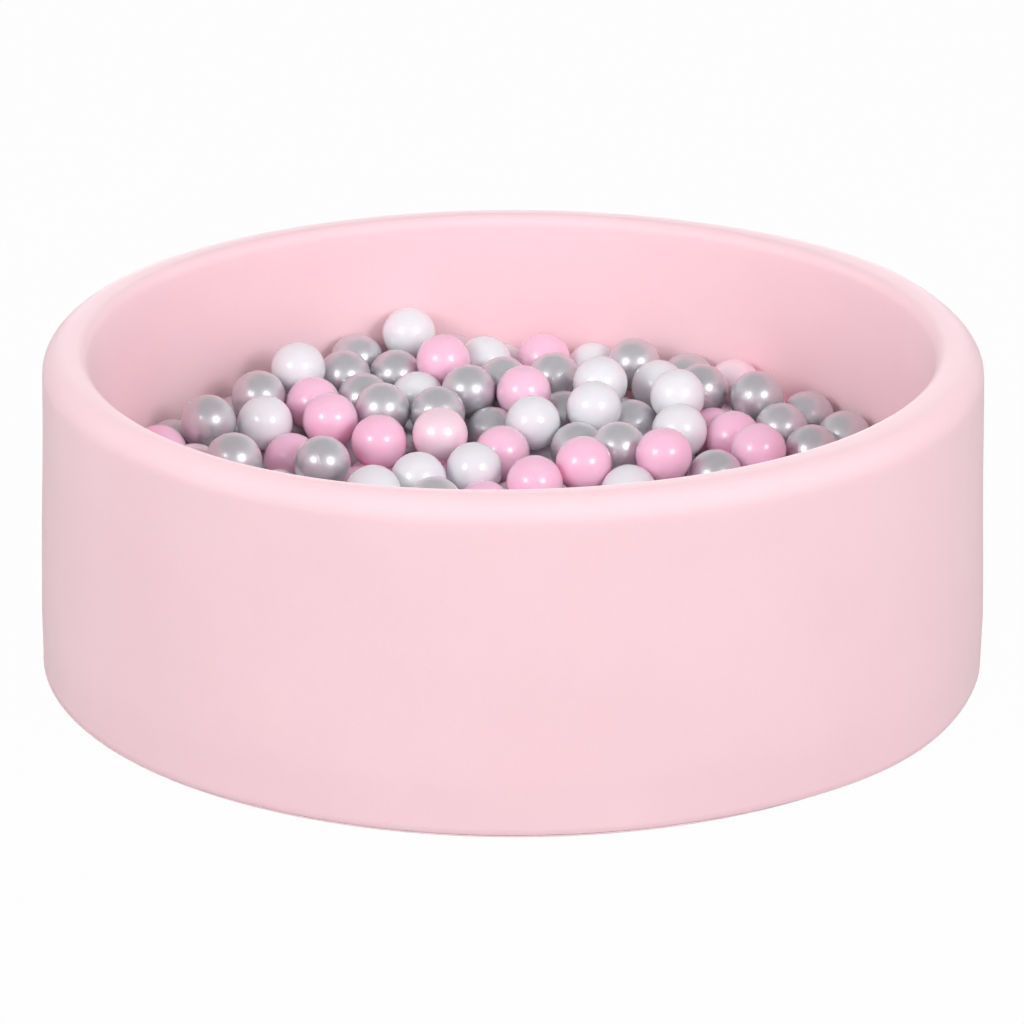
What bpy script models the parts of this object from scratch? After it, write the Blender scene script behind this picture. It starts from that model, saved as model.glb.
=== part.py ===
"""A round foam ball pit with a knitted cover, zipped low at the back, and its heap of loose plastic balls.

Metres, +Z up. The pit stands on the ground at z = 0 with its middle at the origin, and its zip is at +Y.
"""

import math

import bmesh
import bpy
import numpy as np
from mathutils import Vector

# The pit: it is upright on the outside up to LEAN_START, and then leans in by WALL_LEAN up to the rim

OUTER_DIAMETER = 0.904
OVERALL_HEIGHT = 0.310
WALL_LEAN = 0.009
LEAN_START = 0.050
FOAM_WALL = 0.051
FOAM_MAT = 0.025
RIM_OUTER_ROUND = 0.024
RIM_INNER_ROUND = 0.012
CLOTH = 0.0012
FIT_GAP = 0.0003

# The zip: its middle stands ZIP_HEIGHT above the ground, and its chain bends round the back

ZIP_HEIGHT = 0.030
ZIP_FIRST_DEG = 20.0
ZIP_LAST_DEG = 160.0
TAPE_WIDTH = 0.0075
TAPE_THICK = 0.0008
COIL_WIDTH = 0.0024
COIL_THICK = 0.0018
CHAIN_GAP = 0.0018
STOP_LENGTH = 0.0045
STOP_HEIGHT = 0.0090

# The slider: two plates joined by a post that runs between the two halves of the chain

SLIDER_LENGTH = 0.0135
SLIDER_HEIGHT = 0.0100
SLIDER_PLATE = 0.0010
SLIDER_POST_LENGTH = 0.0060
SLIDER_POST_THICK = 0.0008
SLIDER_CLEARANCE = 0.0005
SLIDER_NOSE = 0.0030
CROWN_LENGTH = 0.0090
CROWN_HEIGHT = 0.0032
CROWN_THICK = 0.0010
CROWN_WIDTH = 0.0018
TAB_LENGTH = 0.0240
TAB_WIDTH = 0.0062
TAB_THICK = 0.0011
TAB_SIDE_BAR = 0.0014
TAB_FAR_ROUND = 0.0025

# The balls

BALL_DIAMETER = 0.055
HEAP_DEPTH = 0.113
HEAP_SLOPE_SHARE = 0.10
LOOSE_BALLS = 28
CORE_CLEARANCE = 0.002
STEM_FOOT_SHARE = 0.62
STEM_SUNK = 0.002

# How round the solids are

RING_SEGMENTS = 64
ROUND_STEPS = 4
CHAIN_STEPS = 40
BALL_SEGMENTS = 12
BALL_RINGS = 6
DOME_SEGMENTS = 8
DOME_LATITUDES_DEG = (50.0, 14.0)

# Worked out from the sizes above

OUTER_RADIUS = OUTER_DIAMETER / 2
RIM_RADIUS = OUTER_RADIUS - WALL_LEAN
FOAM_OUTER_RADIUS = OUTER_RADIUS - CLOTH - FIT_GAP
FOAM_INNER_RADIUS = FOAM_OUTER_RADIUS - FOAM_WALL
LINING_OUTER_RADIUS = FOAM_INNER_RADIUS - FIT_GAP
INNER_RADIUS = LINING_OUTER_RADIUS - CLOTH
FOAM_BOTTOM = CLOTH + FIT_GAP
FOAM_TOP = OVERALL_HEIGHT - CLOTH - FIT_GAP
MAT_TOP = FOAM_BOTTOM + FOAM_MAT
FLOOR_BOTTOM = MAT_TOP + FIT_GAP
FLOOR_TOP = FLOOR_BOTTOM + CLOTH
FLAT_SHARE = math.cos(math.pi / RING_SEGMENTS)

TAPE_INNER_RADIUS = OUTER_RADIUS - CLOTH
TAPE_OUTER_RADIUS = TAPE_INNER_RADIUS + TAPE_THICK
COIL_OUTER_RADIUS = TAPE_OUTER_RADIUS + COIL_THICK
ZIP_HALF_HEIGHT = CHAIN_GAP / 2 + TAPE_WIDTH
SLOT_HALF_HEIGHT = ZIP_HALF_HEIGHT + FIT_GAP
SLIDER_BACK_RADIUS = TAPE_INNER_RADIUS - SLIDER_CLEARANCE - SLIDER_PLATE
SLIDER_FRONT_RADIUS = COIL_OUTER_RADIUS + SLIDER_CLEARANCE
SLIDER_FACE_RADIUS = SLIDER_FRONT_RADIUS + SLIDER_PLATE
GROOVE_RADIUS = SLIDER_BACK_RADIUS - SLIDER_CLEARANCE
GROOVE_HALF_HEIGHT = SLIDER_HEIGHT / 2 + SLIDER_CLEARANCE
TAB_AXIS_RADIUS = SLIDER_FACE_RADIUS + CROWN_HEIGHT / 2

BALL_RADIUS = BALL_DIAMETER / 2
HEAP_LEVEL = FLOOR_TOP + HEAP_DEPTH
CUT_OVERRUN = 0.004


def turn_deg(length):
    """The angle, in degrees, that a length takes on the outside of the pit."""
    return math.degrees(length / OUTER_RADIUS)


# Scene and materials


def clear_scene():
    for ob in list(bpy.data.objects):
        bpy.data.objects.remove(ob, do_unlink=True)


def new_collection(name):
    made = bpy.data.collections.new(name)
    bpy.context.scene.collection.children.link(made)
    return made


def new_material(name, colour, roughness, metallic=0.0):
    mat = bpy.data.materials.new(name)
    mat.use_nodes = True
    shader = mat.node_tree.nodes["Principled BSDF"]
    shader.inputs["Base Color"].default_value = (*colour, 1.0)
    shader.inputs["Roughness"].default_value = roughness
    shader.inputs["Metallic"].default_value = metallic
    mat.diffuse_color = (*colour, 1.0)
    return mat


def new_object(name, mesh, materials, collection):
    ob = bpy.data.objects.new(name, mesh)
    for mat in materials:
        mesh.materials.append(mat)
    collection.objects.link(ob)
    return ob


def from_bmesh(name, bm, materials, collection, sharp_deg=40.0):
    bmesh.ops.recalc_face_normals(bm, faces=bm.faces)
    mesh = bpy.data.meshes.new(name)
    bm.to_mesh(mesh)
    bm.free()
    mesh.shade_smooth()
    mesh.set_sharp_from_angle(angle=math.radians(sharp_deg))
    return new_object(name, mesh, materials, collection)


# Shapes turned about the pit's axis


def arc_points(centre, radius, from_deg, to_deg, steps):
    """Points of an arc in the (radius, height) half plane."""
    found = []
    for i in range(steps + 1):
        a = math.radians(from_deg + (to_deg - from_deg) * i / steps)
        found.append((centre[0] + radius * math.cos(a), centre[1] + radius * math.sin(a)))
    return found


def turned(name, outline, materials, collection):
    """A closed outline of (radius, height) points, run down its outer side, turned right round by Screw."""
    bm = bmesh.new()
    points = [bm.verts.new((r, 0.0, z)) for r, z in outline]
    for a, b in zip(points, points[1:] + points[:1]):
        bm.edges.new((a, b))
    mesh = bpy.data.meshes.new(name)
    bm.to_mesh(mesh)
    bm.free()
    ob = new_object(name, mesh, materials, collection)
    screw = ob.modifiers.new("turned", "SCREW")
    screw.axis = "Z"
    screw.angle = math.tau
    screw.steps = RING_SEGMENTS
    screw.render_steps = RING_SEGMENTS
    screw.use_merge_vertices = True
    screw.merge_threshold = 0.00001
    screw.use_smooth_shade = True
    return ob


def disc(name, radius, low, high, materials, collection):
    """A flat round panel, whose corners line up with those of the turned pieces."""
    bpy.ops.mesh.primitive_cylinder_add(
        vertices=RING_SEGMENTS, radius=radius, depth=high - low, end_fill_type="NGON"
    )
    ob = bpy.context.object
    ob.name = name
    ob.data.name = name
    ob.location.z = (low + high) / 2
    for old in ob.users_collection:
        old.objects.unlink(ob)
    collection.objects.link(ob)
    for mat in materials:
        ob.data.materials.append(mat)
    ob.data.shade_smooth()
    ob.data.set_sharp_from_angle(angle=math.radians(40.0))
    return ob


def swept(name, outline, from_deg, to_deg, steps, materials, collection):
    """A filled (radius, height) outline swept part of the way round the pit's axis: a closed solid."""
    bm = bmesh.new()
    start = math.radians(from_deg)
    points = [bm.verts.new((r * math.cos(start), r * math.sin(start), z)) for r, z in outline]
    face = bm.faces.new(points)
    bmesh.ops.spin(
        bm,
        geom=[face],
        cent=(0.0, 0.0, 0.0),
        axis=(0.0, 0.0, 1.0),
        angle=math.radians(to_deg - from_deg),
        steps=steps,
        use_duplicate=False,
    )
    return from_bmesh(name, bm, materials, collection)


def cut(ob, cutter):
    """Takes the cutter out of ob, which keeps the modifier live."""
    cutter.display_type = "WIRE"
    cutter.hide_render = True
    modifier = ob.modifiers.new("cut", "BOOLEAN")
    modifier.operation = "DIFFERENCE"
    modifier.solver = "EXACT"
    modifier.object = cutter


def band(inner, outer, low, high):
    """A rectangle in the (radius, height) half plane."""
    return [(outer, high), (outer, low), (inner, low), (inner, high)]


# Foam and cover


def foam_ring(materials, collection, cutters):
    """The foam strip, bent into a ring and glued end to end. Its groove is where it gives way behind the slider."""
    outer_round = RIM_OUTER_ROUND - CLOTH - FIT_GAP
    inner_round = RIM_INNER_ROUND - CLOTH - FIT_GAP
    top_outer = (FOAM_OUTER_RADIUS - WALL_LEAN - outer_round, FOAM_TOP - outer_round)
    top_inner = (FOAM_INNER_RADIUS + inner_round, FOAM_TOP - inner_round)
    outline = arc_points(top_outer, outer_round, 90.0, 0.0, ROUND_STEPS)
    outline += [(FOAM_OUTER_RADIUS, LEAN_START), (FOAM_OUTER_RADIUS, FOAM_BOTTOM)]
    outline.append((FOAM_INNER_RADIUS, FOAM_BOTTOM))
    outline += arc_points(top_inner, inner_round, 180.0, 90.0, ROUND_STEPS - 1)
    ring = turned("foam_wall", outline, materials, collection)
    groove = band(
        GROOVE_RADIUS,
        OUTER_RADIUS + CUT_OVERRUN,
        ZIP_HEIGHT - GROOVE_HALF_HEIGHT,
        ZIP_HEIGHT + GROOVE_HALF_HEIGHT,
    )
    spare = turn_deg(SLIDER_LENGTH)
    cutter = swept(
        "groove_cutter", groove, ZIP_FIRST_DEG + turn_deg(STOP_LENGTH), ZIP_LAST_DEG + spare, CHAIN_STEPS, [], cutters
    )
    cut(ring, cutter)
    return ring


def sleeve(materials, collection, cutters):
    """The cover's one-piece sleeve: up the outside, over the rim and down the inside, with the zip's slot at the back."""
    outer_arc = (RIM_RADIUS - RIM_OUTER_ROUND, OVERALL_HEIGHT - RIM_OUTER_ROUND)
    inner_arc = (INNER_RADIUS + RIM_INNER_ROUND, OVERALL_HEIGHT - RIM_INNER_ROUND)
    skin = arc_points(outer_arc, RIM_OUTER_ROUND, 90.0, 0.0, ROUND_STEPS)
    lining = arc_points(outer_arc, RIM_OUTER_ROUND - CLOTH, 0.0, 90.0, ROUND_STEPS)
    skin_inside = arc_points(inner_arc, RIM_INNER_ROUND, 180.0, 90.0, ROUND_STEPS - 1)
    lining_inside = arc_points(inner_arc, RIM_INNER_ROUND - CLOTH, 90.0, 180.0, ROUND_STEPS - 1)
    outline = skin + [(OUTER_RADIUS, LEAN_START), (OUTER_RADIUS, FOAM_BOTTOM)]
    outline += [(OUTER_RADIUS - CLOTH, FOAM_BOTTOM), (OUTER_RADIUS - CLOTH, LEAN_START)]
    outline += lining + lining_inside
    outline += [(LINING_OUTER_RADIUS, FLOOR_BOTTOM), (INNER_RADIUS, FLOOR_BOTTOM)]
    outline += skin_inside
    cover = turned("cover_sleeve", outline, materials, collection)
    slot = band(
        OUTER_RADIUS - 2 * CLOTH - FIT_GAP,
        OUTER_RADIUS + CUT_OVERRUN,
        ZIP_HEIGHT - SLOT_HALF_HEIGHT,
        ZIP_HEIGHT + SLOT_HALF_HEIGHT,
    )
    spare = turn_deg(FIT_GAP)
    cutter = swept("slot_cutter", slot, ZIP_FIRST_DEG - spare, ZIP_LAST_DEG + spare, CHAIN_STEPS, [], cutters)
    cut(cover, cutter)
    return cover


# The zip


def zip_half(name, side, materials, collection):
    """One half of the zip: a flat tape with the coil sewn along its inner edge. side is 1 above and -1 below."""
    edge = CHAIN_GAP / 2
    outline = [
        (TAPE_INNER_RADIUS, edge),
        (COIL_OUTER_RADIUS - COIL_THICK / 3, edge),
        (COIL_OUTER_RADIUS, edge + COIL_WIDTH / 3),
        (COIL_OUTER_RADIUS, edge + COIL_WIDTH * 2 / 3),
        (TAPE_OUTER_RADIUS + COIL_THICK / 3, edge + COIL_WIDTH),
        (TAPE_OUTER_RADIUS, edge + COIL_WIDTH),
        (TAPE_OUTER_RADIUS, edge + TAPE_WIDTH),
        (TAPE_INNER_RADIUS, edge + TAPE_WIDTH),
    ]
    outline = [(r, ZIP_HEIGHT + side * z) for r, z in outline]
    ends = turn_deg(STOP_LENGTH + 2 * FIT_GAP)
    return swept(name, outline, ZIP_FIRST_DEG + ends, ZIP_LAST_DEG - ends, CHAIN_STEPS, materials, collection)


def zip_stop(name, middle_deg, materials, collection):
    """A moulded stop that holds both tapes together at one end of the chain."""
    half = turn_deg(STOP_LENGTH) / 2
    low = ZIP_HEIGHT - STOP_HEIGHT / 2
    high = ZIP_HEIGHT + STOP_HEIGHT / 2
    blunt = COIL_THICK / 3
    outline = [
        (COIL_OUTER_RADIUS, high - blunt),
        (COIL_OUTER_RADIUS, low + blunt),
        (COIL_OUTER_RADIUS - blunt, low),
        (TAPE_INNER_RADIUS, low),
        (TAPE_INNER_RADIUS, high),
        (COIL_OUTER_RADIUS - blunt, high),
    ]
    return swept(name, outline, middle_deg - half, middle_deg + half, 1, materials, collection)


def box_bmesh(bm, size, centre):
    made = bmesh.ops.create_cube(bm, size=1.0)
    bmesh.ops.scale(bm, vec=size, verts=made["verts"])
    bmesh.ops.translate(bm, vec=centre, verts=made["verts"])
    return made["verts"]


def mesh_box(name, size, centre, collection):
    bm = bmesh.new()
    box_bmesh(bm, size, centre)
    return from_bmesh(name, bm, [], collection)


def joined(ob, others):
    """Unites others with ob and leaves one plain mesh."""
    for other in others:
        modifier = ob.modifiers.new("join", "BOOLEAN")
        modifier.operation = "UNION"
        modifier.solver = "EXACT"
        modifier.object = other
    seen = ob.evaluated_get(bpy.context.evaluated_depsgraph_get())
    whole = bpy.data.meshes.new_from_object(seen)
    ob.modifiers.clear()
    ob.data = whole
    for other in others:
        bpy.data.objects.remove(other, do_unlink=True)


def tapered_plate(bm, middle):
    """A slider plate: wide shoulders at the mouth, drawn in towards the tail, in the slider's own frame."""
    tail_share = 0.68
    half = SLIDER_LENGTH / 2
    tall = SLIDER_HEIGHT / 2
    outline = [
        (-half, tall * tail_share),
        (-half, -tall * tail_share),
        (half - SLIDER_NOSE, -tall),
        (half, -tall * tail_share),
        (half, tall * tail_share),
        (half - SLIDER_NOSE, tall),
    ]
    low = [bm.verts.new((x, middle - SLIDER_PLATE / 2, z)) for x, z in outline]
    face = bm.faces.new(low)
    grown = bmesh.ops.extrude_face_region(bm, geom=[face])
    verts = [g for g in grown["geom"] if isinstance(g, bmesh.types.BMVert)]
    bmesh.ops.translate(bm, vec=(0.0, SLIDER_PLATE, 0.0), verts=verts)


def plate_object(name, middle, collection):
    bm = bmesh.new()
    tapered_plate(bm, middle)
    return from_bmesh(name, bm, [], collection)


def slider(frame, materials, collection):
    """The slider, on its frame: x runs along the chain, y points out of the pit and the origin is on the pit's axis."""
    back = plate_object("zip_slider", SLIDER_BACK_RADIUS + SLIDER_PLATE / 2, collection)
    front = plate_object("front_plate", SLIDER_FRONT_RADIUS + SLIDER_PLATE / 2, collection)
    reach = SLIDER_FACE_RADIUS - SLIDER_BACK_RADIUS - SLIDER_PLATE
    post = mesh_box(
        "post",
        (SLIDER_POST_LENGTH, reach, SLIDER_POST_THICK),
        (0.0, (SLIDER_FACE_RADIUS + SLIDER_BACK_RADIUS) / 2, 0.0),
        collection,
    )
    crown_top = SLIDER_FACE_RADIUS + CROWN_HEIGHT
    bridge = mesh_box(
        "bridge",
        (CROWN_LENGTH, CROWN_THICK, CROWN_WIDTH),
        (0.0, crown_top + CROWN_THICK / 2, 0.0),
        collection,
    )
    legs = []
    for side in (-1, 1):
        foot = SLIDER_PLATE / 2
        legs.append(
            mesh_box(
                "crown_leg",
                (CROWN_THICK, CROWN_HEIGHT + foot + CROWN_THICK / 2, CROWN_WIDTH),
                (
                    side * (CROWN_LENGTH - CROWN_THICK) / 2,
                    SLIDER_FACE_RADIUS + (CROWN_HEIGHT - foot + CROWN_THICK / 2) / 2,
                    0.0,
                ),
                collection,
            )
        )
    joined(back, [front, post, bridge, *legs])
    for mat in materials:
        back.data.materials.append(mat)
    back.parent = frame
    return back


def pull_tab(frame, materials, collection):
    """The pull tab: a flat plate with a window, whose end bar turns under the slider's crown. Its origin is on that bar."""
    window = CROWN_LENGTH / 2 + SLIDER_CLEARANCE * 2 + TAB_THICK / 2
    half = TAB_WIDTH / 2
    bar = TAB_THICK / 2
    far = [(TAB_LENGTH - TAB_FAR_ROUND, half), (TAB_LENGTH, half - TAB_FAR_ROUND)]
    outer = [(bar, -half)] + [(-x, -z) for x, z in far] + [(-x, z) for x, z in reversed(far)] + [(bar, half)]
    bm = bmesh.new()
    rim = [bm.verts.new((x, -bar, z)) for x, z in outer]
    grown = bmesh.ops.extrude_face_region(bm, geom=[bm.faces.new(rim)])
    verts = [g for g in grown["geom"] if isinstance(g, bmesh.types.BMVert)]
    bmesh.ops.translate(bm, vec=(0.0, TAB_THICK, 0.0), verts=verts)
    plate = from_bmesh("zip_pull_tab", bm, materials, collection)
    hole = mesh_box(
        "window_cutter",
        (window - bar, TAB_THICK + 2 * CUT_OVERRUN, TAB_WIDTH - 2 * TAB_SIDE_BAR),
        (-(window + bar) / 2, 0.0, 0.0),
        collection,
    )
    modifier = plate.modifiers.new("window", "BOOLEAN")
    modifier.operation = "DIFFERENCE"
    modifier.solver = "EXACT"
    modifier.object = hole
    seen = plate.evaluated_get(bpy.context.evaluated_depsgraph_get())
    whole = bpy.data.meshes.new_from_object(seen)
    plate.modifiers.clear()
    plate.data = whole
    bpy.data.objects.remove(hole, do_unlink=True)
    plate.location = (0.0, TAB_AXIS_RADIUS, 0.0)
    plate.parent = frame
    return plate


def zip_parts(materials, collection):
    zip_half("zip_upper_half", 1, materials["zip_tape"], collection)
    zip_half("zip_lower_half", -1, materials["zip_tape"], collection)
    half_stop = turn_deg(STOP_LENGTH) / 2
    zip_stop("zip_start_stop", ZIP_FIRST_DEG + half_stop, materials["zip_hard"], collection)
    zip_stop("zip_end_stop", ZIP_LAST_DEG - half_stop, materials["zip_hard"], collection)
    frame = bpy.data.objects.new("slider_frame", None)
    collection.objects.link(frame)
    rest_deg = ZIP_FIRST_DEG + turn_deg(STOP_LENGTH + 2 * FIT_GAP + SLIDER_LENGTH / 2)
    frame.location = (0.0, 0.0, ZIP_HEIGHT)
    frame.rotation_euler = (0.0, 0.0, math.radians(rest_deg - 90.0))
    slider(frame, materials["zip_hard"], collection)
    pull_tab(frame, materials["zip_hard"], collection)
    last_deg = ZIP_LAST_DEG - turn_deg(STOP_LENGTH + 2 * FIT_GAP + SLIDER_LENGTH / 2)
    axis = frame.matrix_basis @ Vector((0.0, TAB_AXIS_RADIUS, 0.0))
    print(f"slider rests at {rest_deg:.3f} deg and travels {last_deg - rest_deg:.3f} deg")
    print("pull tab's axis passes", tuple(round(c, 5) for c in axis))


# The heap. Its places are in ball diameters from the middle of the heap's surface, until they are made.

# The balls that the photograph shows: pixels across and down, the colour, and whether the ball lies on top,
# between others, or deep in a gap.
SEEN_BALLS = (
    (411, 334, "white", "top"),
    (359, 360, "silver", "between"),
    (303, 370, "white", "top"),
    (348, 377, "silver", "top"),
    (396, 376, "silver", "between"),
    (440, 364, "pink", "top"),
    (454, 361, "silver", "deep"),
    (483, 364, "white", "between"),
    (506, 366, "white", "deep"),
    (543, 363, "pink", "between"),
    (551, 380, "silver", "between"),
    (507, 383, "silver", "between"),
    (592, 368, "white", "between"),
    (635, 365, "silver", "top"),
    (689, 379, "silver", "deep"),
    (735, 387, "pink", "between"),
    (702, 394, "silver", "between"),
    (660, 386, "white", "between"),
    (679, 396, "white", "top"),
    (599, 386, "white", "top"),
    (595, 409, "white", "top"),
    (524, 393, "pink", "top"),
    (470, 393, "silver", "top"),
    (758, 398, "silver", "top"),
    (808, 418, "silver", "between"),
    (782, 430, "silver", "between"),
    (845, 438, "silver", "between"),
    (813, 452, "silver", "between"),
    (734, 438, "pink", "between"),
    (759, 451, "pink", "top"),
    (722, 428, "silver", "deep"),
    (681, 431, "white", "top"),
    (663, 455, "pink", "top"),
    (632, 426, "silver", "between"),
    (616, 450, "silver", "between"),
    (578, 445, "silver", "between"),
    (585, 465, "pink", "top"),
    (537, 427, "white", "top"),
    (495, 431, "silver", "between"),
    (566, 412, "silver", "deep"),
    (503, 453, "pink", "between"),
    (475, 470, "white", "top"),
    (535, 484, "pink", "top"),
    (486, 507, "pink", "between"),
    (629, 492, "white", "between"),
    (717, 477, "silver", "between"),
    (437, 505, "silver", "between"),
    (374, 493, "white", "top"),
    (360, 493, "pink", "deep"),
    (419, 480, "white", "top"),
    (323, 464, "silver", "top"),
    (292, 461, "pink", "between"),
    (233, 461, "silver", "top"),
    (266, 424, "white", "top"),
    (331, 420, "pink", "top"),
    (380, 442, "pink", "top"),
    (441, 435, "pink", "top"),
    (384, 410, "silver", "top"),
    (366, 400, "silver", "between"),
    (419, 398, "white", "between"),
    (437, 414, "silver", "between"),
    (311, 403, "pink", "between"),
    (307, 394, "silver", "deep"),
    (262, 399, "silver", "between"),
    (208, 423, "silver", "between"),
    (228, 422, "silver", "deep"),
    (218, 440, "silver", "deep"),
    (178, 445, "silver", "between"),
    (163, 453, "pink", "between"),
    (195, 470, "pink", "between"),
    (262, 476, "silver", "deep"),
    (280, 496, "white", "deep"),
    (294, 427, "silver", "deep"),
    (351, 446, "white", "deep"),
    (411, 443, "silver", "deep"),
    (442, 387, "silver", "deep"),
    (445, 475, "pink", "deep"),
    (553, 468, "white", "deep"),
    (714, 433, "pink", "deep"),
)
COLOURS = ("pink", "white", "silver")
TIER_HEIGHT_SHARES = {"top": 0.22, "between": -0.05, "deep": -0.50}

# Where the photograph was taken from: shares are of a ball's diameter, from the middle of the heap's surface
VIEW_BACK_SHARE = 68.56
VIEW_UP_SHARE = 25.56
VIEW_TILT_DEG = 20.56
VIEW_ROLL_DEG = 0.186
VIEW_LENS_PIXELS = 4200.0
VIEW_MIDDLE_PIXELS = (513.3, 512.0)

FILL_SEED = 7
FILL_NEAREST_SHARE = 0.80
FILL_JITTER_SHARE = 0.30
FILL_HEIGHT_SHARES = (-0.35, 0.30)
GAP_NEAREST_SHARE = 0.94
GAP_HEIGHT_SHARES = (-0.10, -0.25, -0.40, -0.55)
GAP_STEP_SHARE = 0.2
HIDING_SHARE = 0.85


def sight_lines(pixels):
    """Unit directions from the photograph's eye through these pixels."""
    across = pixels[:, 0] - VIEW_MIDDLE_PIXELS[0]
    down = pixels[:, 1] - VIEW_MIDDLE_PIXELS[1]
    roll = math.radians(VIEW_ROLL_DEG)
    tilt = math.radians(VIEW_TILT_DEG)
    right = (across * math.cos(roll) + down * math.sin(roll)) / VIEW_LENS_PIXELS
    up = (across * math.sin(roll) - down * math.cos(roll)) / VIEW_LENS_PIXELS
    ahead = math.cos(tilt) + up * math.sin(tilt)
    rise = up * math.cos(tilt) - math.sin(tilt)
    lines = np.stack([right, ahead, rise], axis=1)
    return lines / np.linalg.norm(lines, axis=1)[:, None]


def pushed_apart(places, spacing, wall, held=0, share=0.7):
    """One round of moving balls that are too near each other apart, and back inside the wall. The first held stay."""
    between = places[:, None] - places[None]
    far = np.linalg.norm(between, axis=2) + np.eye(len(places)) * spacing * 2
    short = np.clip(spacing - far, 0.0, None) / far
    weight = np.full((len(places), len(places)), 0.5)
    weight[:, :held] = 1.0
    push = (between * (short * weight)[:, :, None]).sum(axis=1) * share
    push[:held] = 0.0
    places = places + push
    reach = np.maximum(np.hypot(places[:, 0], places[:, 1]), 1e-9)
    inward = np.minimum(1.0, wall / reach)
    places[:, :2] *= inward[:, None]
    return places


def seen_places(spacing, wall):
    """Settles the balls in the photograph. Each may move easily along its line of sight, and little across it."""
    pixels = np.array([ball[:2] for ball in SEEN_BALLS], dtype=float)
    lift = np.array([TIER_HEIGHT_SHARES[ball[3]] for ball in SEEN_BALLS])
    eye = np.array([0.0, -VIEW_BACK_SHARE, VIEW_UP_SHARE])
    lines = sight_lines(pixels)
    reach = (lift + HEAP_SLOPE_SHARE * eye[1] - eye[2]) / (lines[:, 2] - HEAP_SLOPE_SHARE * lines[:, 1])
    home = eye + lines * reach[:, None]
    places = home.copy()
    rounds = 500
    for i in range(rounds):
        places = pushed_apart(places, spacing, wall)
        hold = 0.5 * min(1.0, 3.0 * (1.0 - i / rounds))
        along = ((places - eye) * lines).sum(axis=1) + 0.02 * ((home - places) * lines).sum(axis=1)
        on_line = eye + lines * along[:, None]
        places = places + (on_line - places) * hold
    for _ in range(120):
        places = pushed_apart(places, spacing, wall)
    return places


def hides_one(spot, seen):
    """Whether a ball at this spot would stand well in front of one that the photograph shows."""
    eye = np.array([0.0, -VIEW_BACK_SHARE, VIEW_UP_SHARE])
    lines = seen - eye
    far = np.linalg.norm(lines, axis=1)
    lines = lines / far[:, None]
    along = lines @ (spot - eye)
    aside = np.linalg.norm(spot - eye - lines * along[:, None], axis=1)
    return ((aside < HIDING_SHARE) & (along < far)).any()


def fill_places(seen, spacing, wall):
    """The top layer's other balls: a close-packed pattern, shaken a little, wherever it finds room."""
    shake = np.random.default_rng(FILL_SEED)
    rows = int(wall / 0.87) + 2
    row_step = math.sqrt(3.0) / 2.0
    found = []
    for j in range(-rows, rows + 1):
        for i in range(-rows, rows + 1):
            spot = np.array([(i + 0.5 * (j % 2)) * spacing, j * row_step * spacing, 0.0])
            spot[:2] += shake.uniform(-FILL_JITTER_SHARE, FILL_JITTER_SHARE, 2)
            spot[2] = HEAP_SLOPE_SHARE * spot[1] + shake.uniform(*FILL_HEIGHT_SHARES)
            if math.hypot(spot[0], spot[1]) > wall:
                continue
            if np.linalg.norm(seen - spot, axis=1).min() < FILL_NEAREST_SHARE or hides_one(spot, seen):
                continue
            found.append(spot)
    places = np.vstack([seen, found])
    for _ in range(100):
        places = pushed_apart(places, spacing, wall, held=len(seen))
    places = gaps_filled(places, seen, wall)
    for _ in range(300):
        places = pushed_apart(places, spacing, wall, held=len(seen))
    for _ in range(150):
        places = pushed_apart(places, spacing, wall)
    return places


def gaps_filled(places, seen, wall):
    """Adds a ball wherever one shows a little lower, in a gap between the others. Shallow gaps are filled first."""
    steps = int(wall / GAP_STEP_SHARE) + 1
    for height in GAP_HEIGHT_SHARES:
        for j in range(-steps, steps + 1):
            for i in range(-steps, steps + 1):
                x, y = i * GAP_STEP_SHARE, j * GAP_STEP_SHARE
                spot = np.array([x, y, HEAP_SLOPE_SHARE * y + height])
                if math.hypot(x, y) > wall or hides_one(spot, seen):
                    continue
                if np.linalg.norm(places - spot, axis=1).min() > GAP_NEAREST_SHARE:
                    places = np.vstack([places, spot])
    return places


def heap_layout():
    """Every ball of the top layer: (place in metres, colour). The photograph's balls come first."""
    spacing = (BALL_DIAMETER + FIT_GAP) / BALL_DIAMETER
    wall = (INNER_RADIUS * FLAT_SHARE - BALL_RADIUS - FIT_GAP) / BALL_DIAMETER
    places = fill_places(seen_places(spacing, wall), spacing, wall)
    pick = np.random.default_rng(FILL_SEED + 1)
    colours = [ball[2] for ball in SEEN_BALLS]
    while len(colours) < len(places):
        colours.append(COLOURS[int(pick.integers(len(COLOURS)))])
    metres = places * BALL_DIAMETER
    metres[:, 2] += HEAP_LEVEL
    return metres, colours


def loose_choice(places):
    """The balls that lift straight out, highest first: none lies over them, and none of them over another."""
    clear = BALL_DIAMETER + FIT_GAP * 0.9
    above_plane = places[:, 2] - HEAP_SLOPE_SHARE * places[:, 1]
    chosen = []
    for i in np.argsort(-above_plane):
        others = np.delete(np.arange(len(places)), i)
        away = places[others] - places[i]
        flat = np.hypot(away[:, 0], away[:, 1])
        if np.linalg.norm(away, axis=1).min() < clear:
            continue
        if ((away[:, 2] > 0) & (flat < clear)).any():
            continue
        if any(math.dist(places[i][:2], places[k][:2]) < clear for k in chosen):
            continue
        chosen.append(int(i))
        if len(chosen) == LOOSE_BALLS:
            break
    return chosen


def ball(name, place, material, collection):
    bpy.ops.mesh.primitive_uv_sphere_add(
        segments=BALL_SEGMENTS, ring_count=BALL_RINGS, radius=BALL_RADIUS, location=place
    )
    ob = bpy.context.object
    ob.name = name
    ob.data.name = name
    ob.data.materials.append(material)
    ob.data.shade_smooth()
    for old in ob.users_collection:
        old.objects.unlink(ob)
    collection.objects.link(ob)
    return ob


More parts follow.
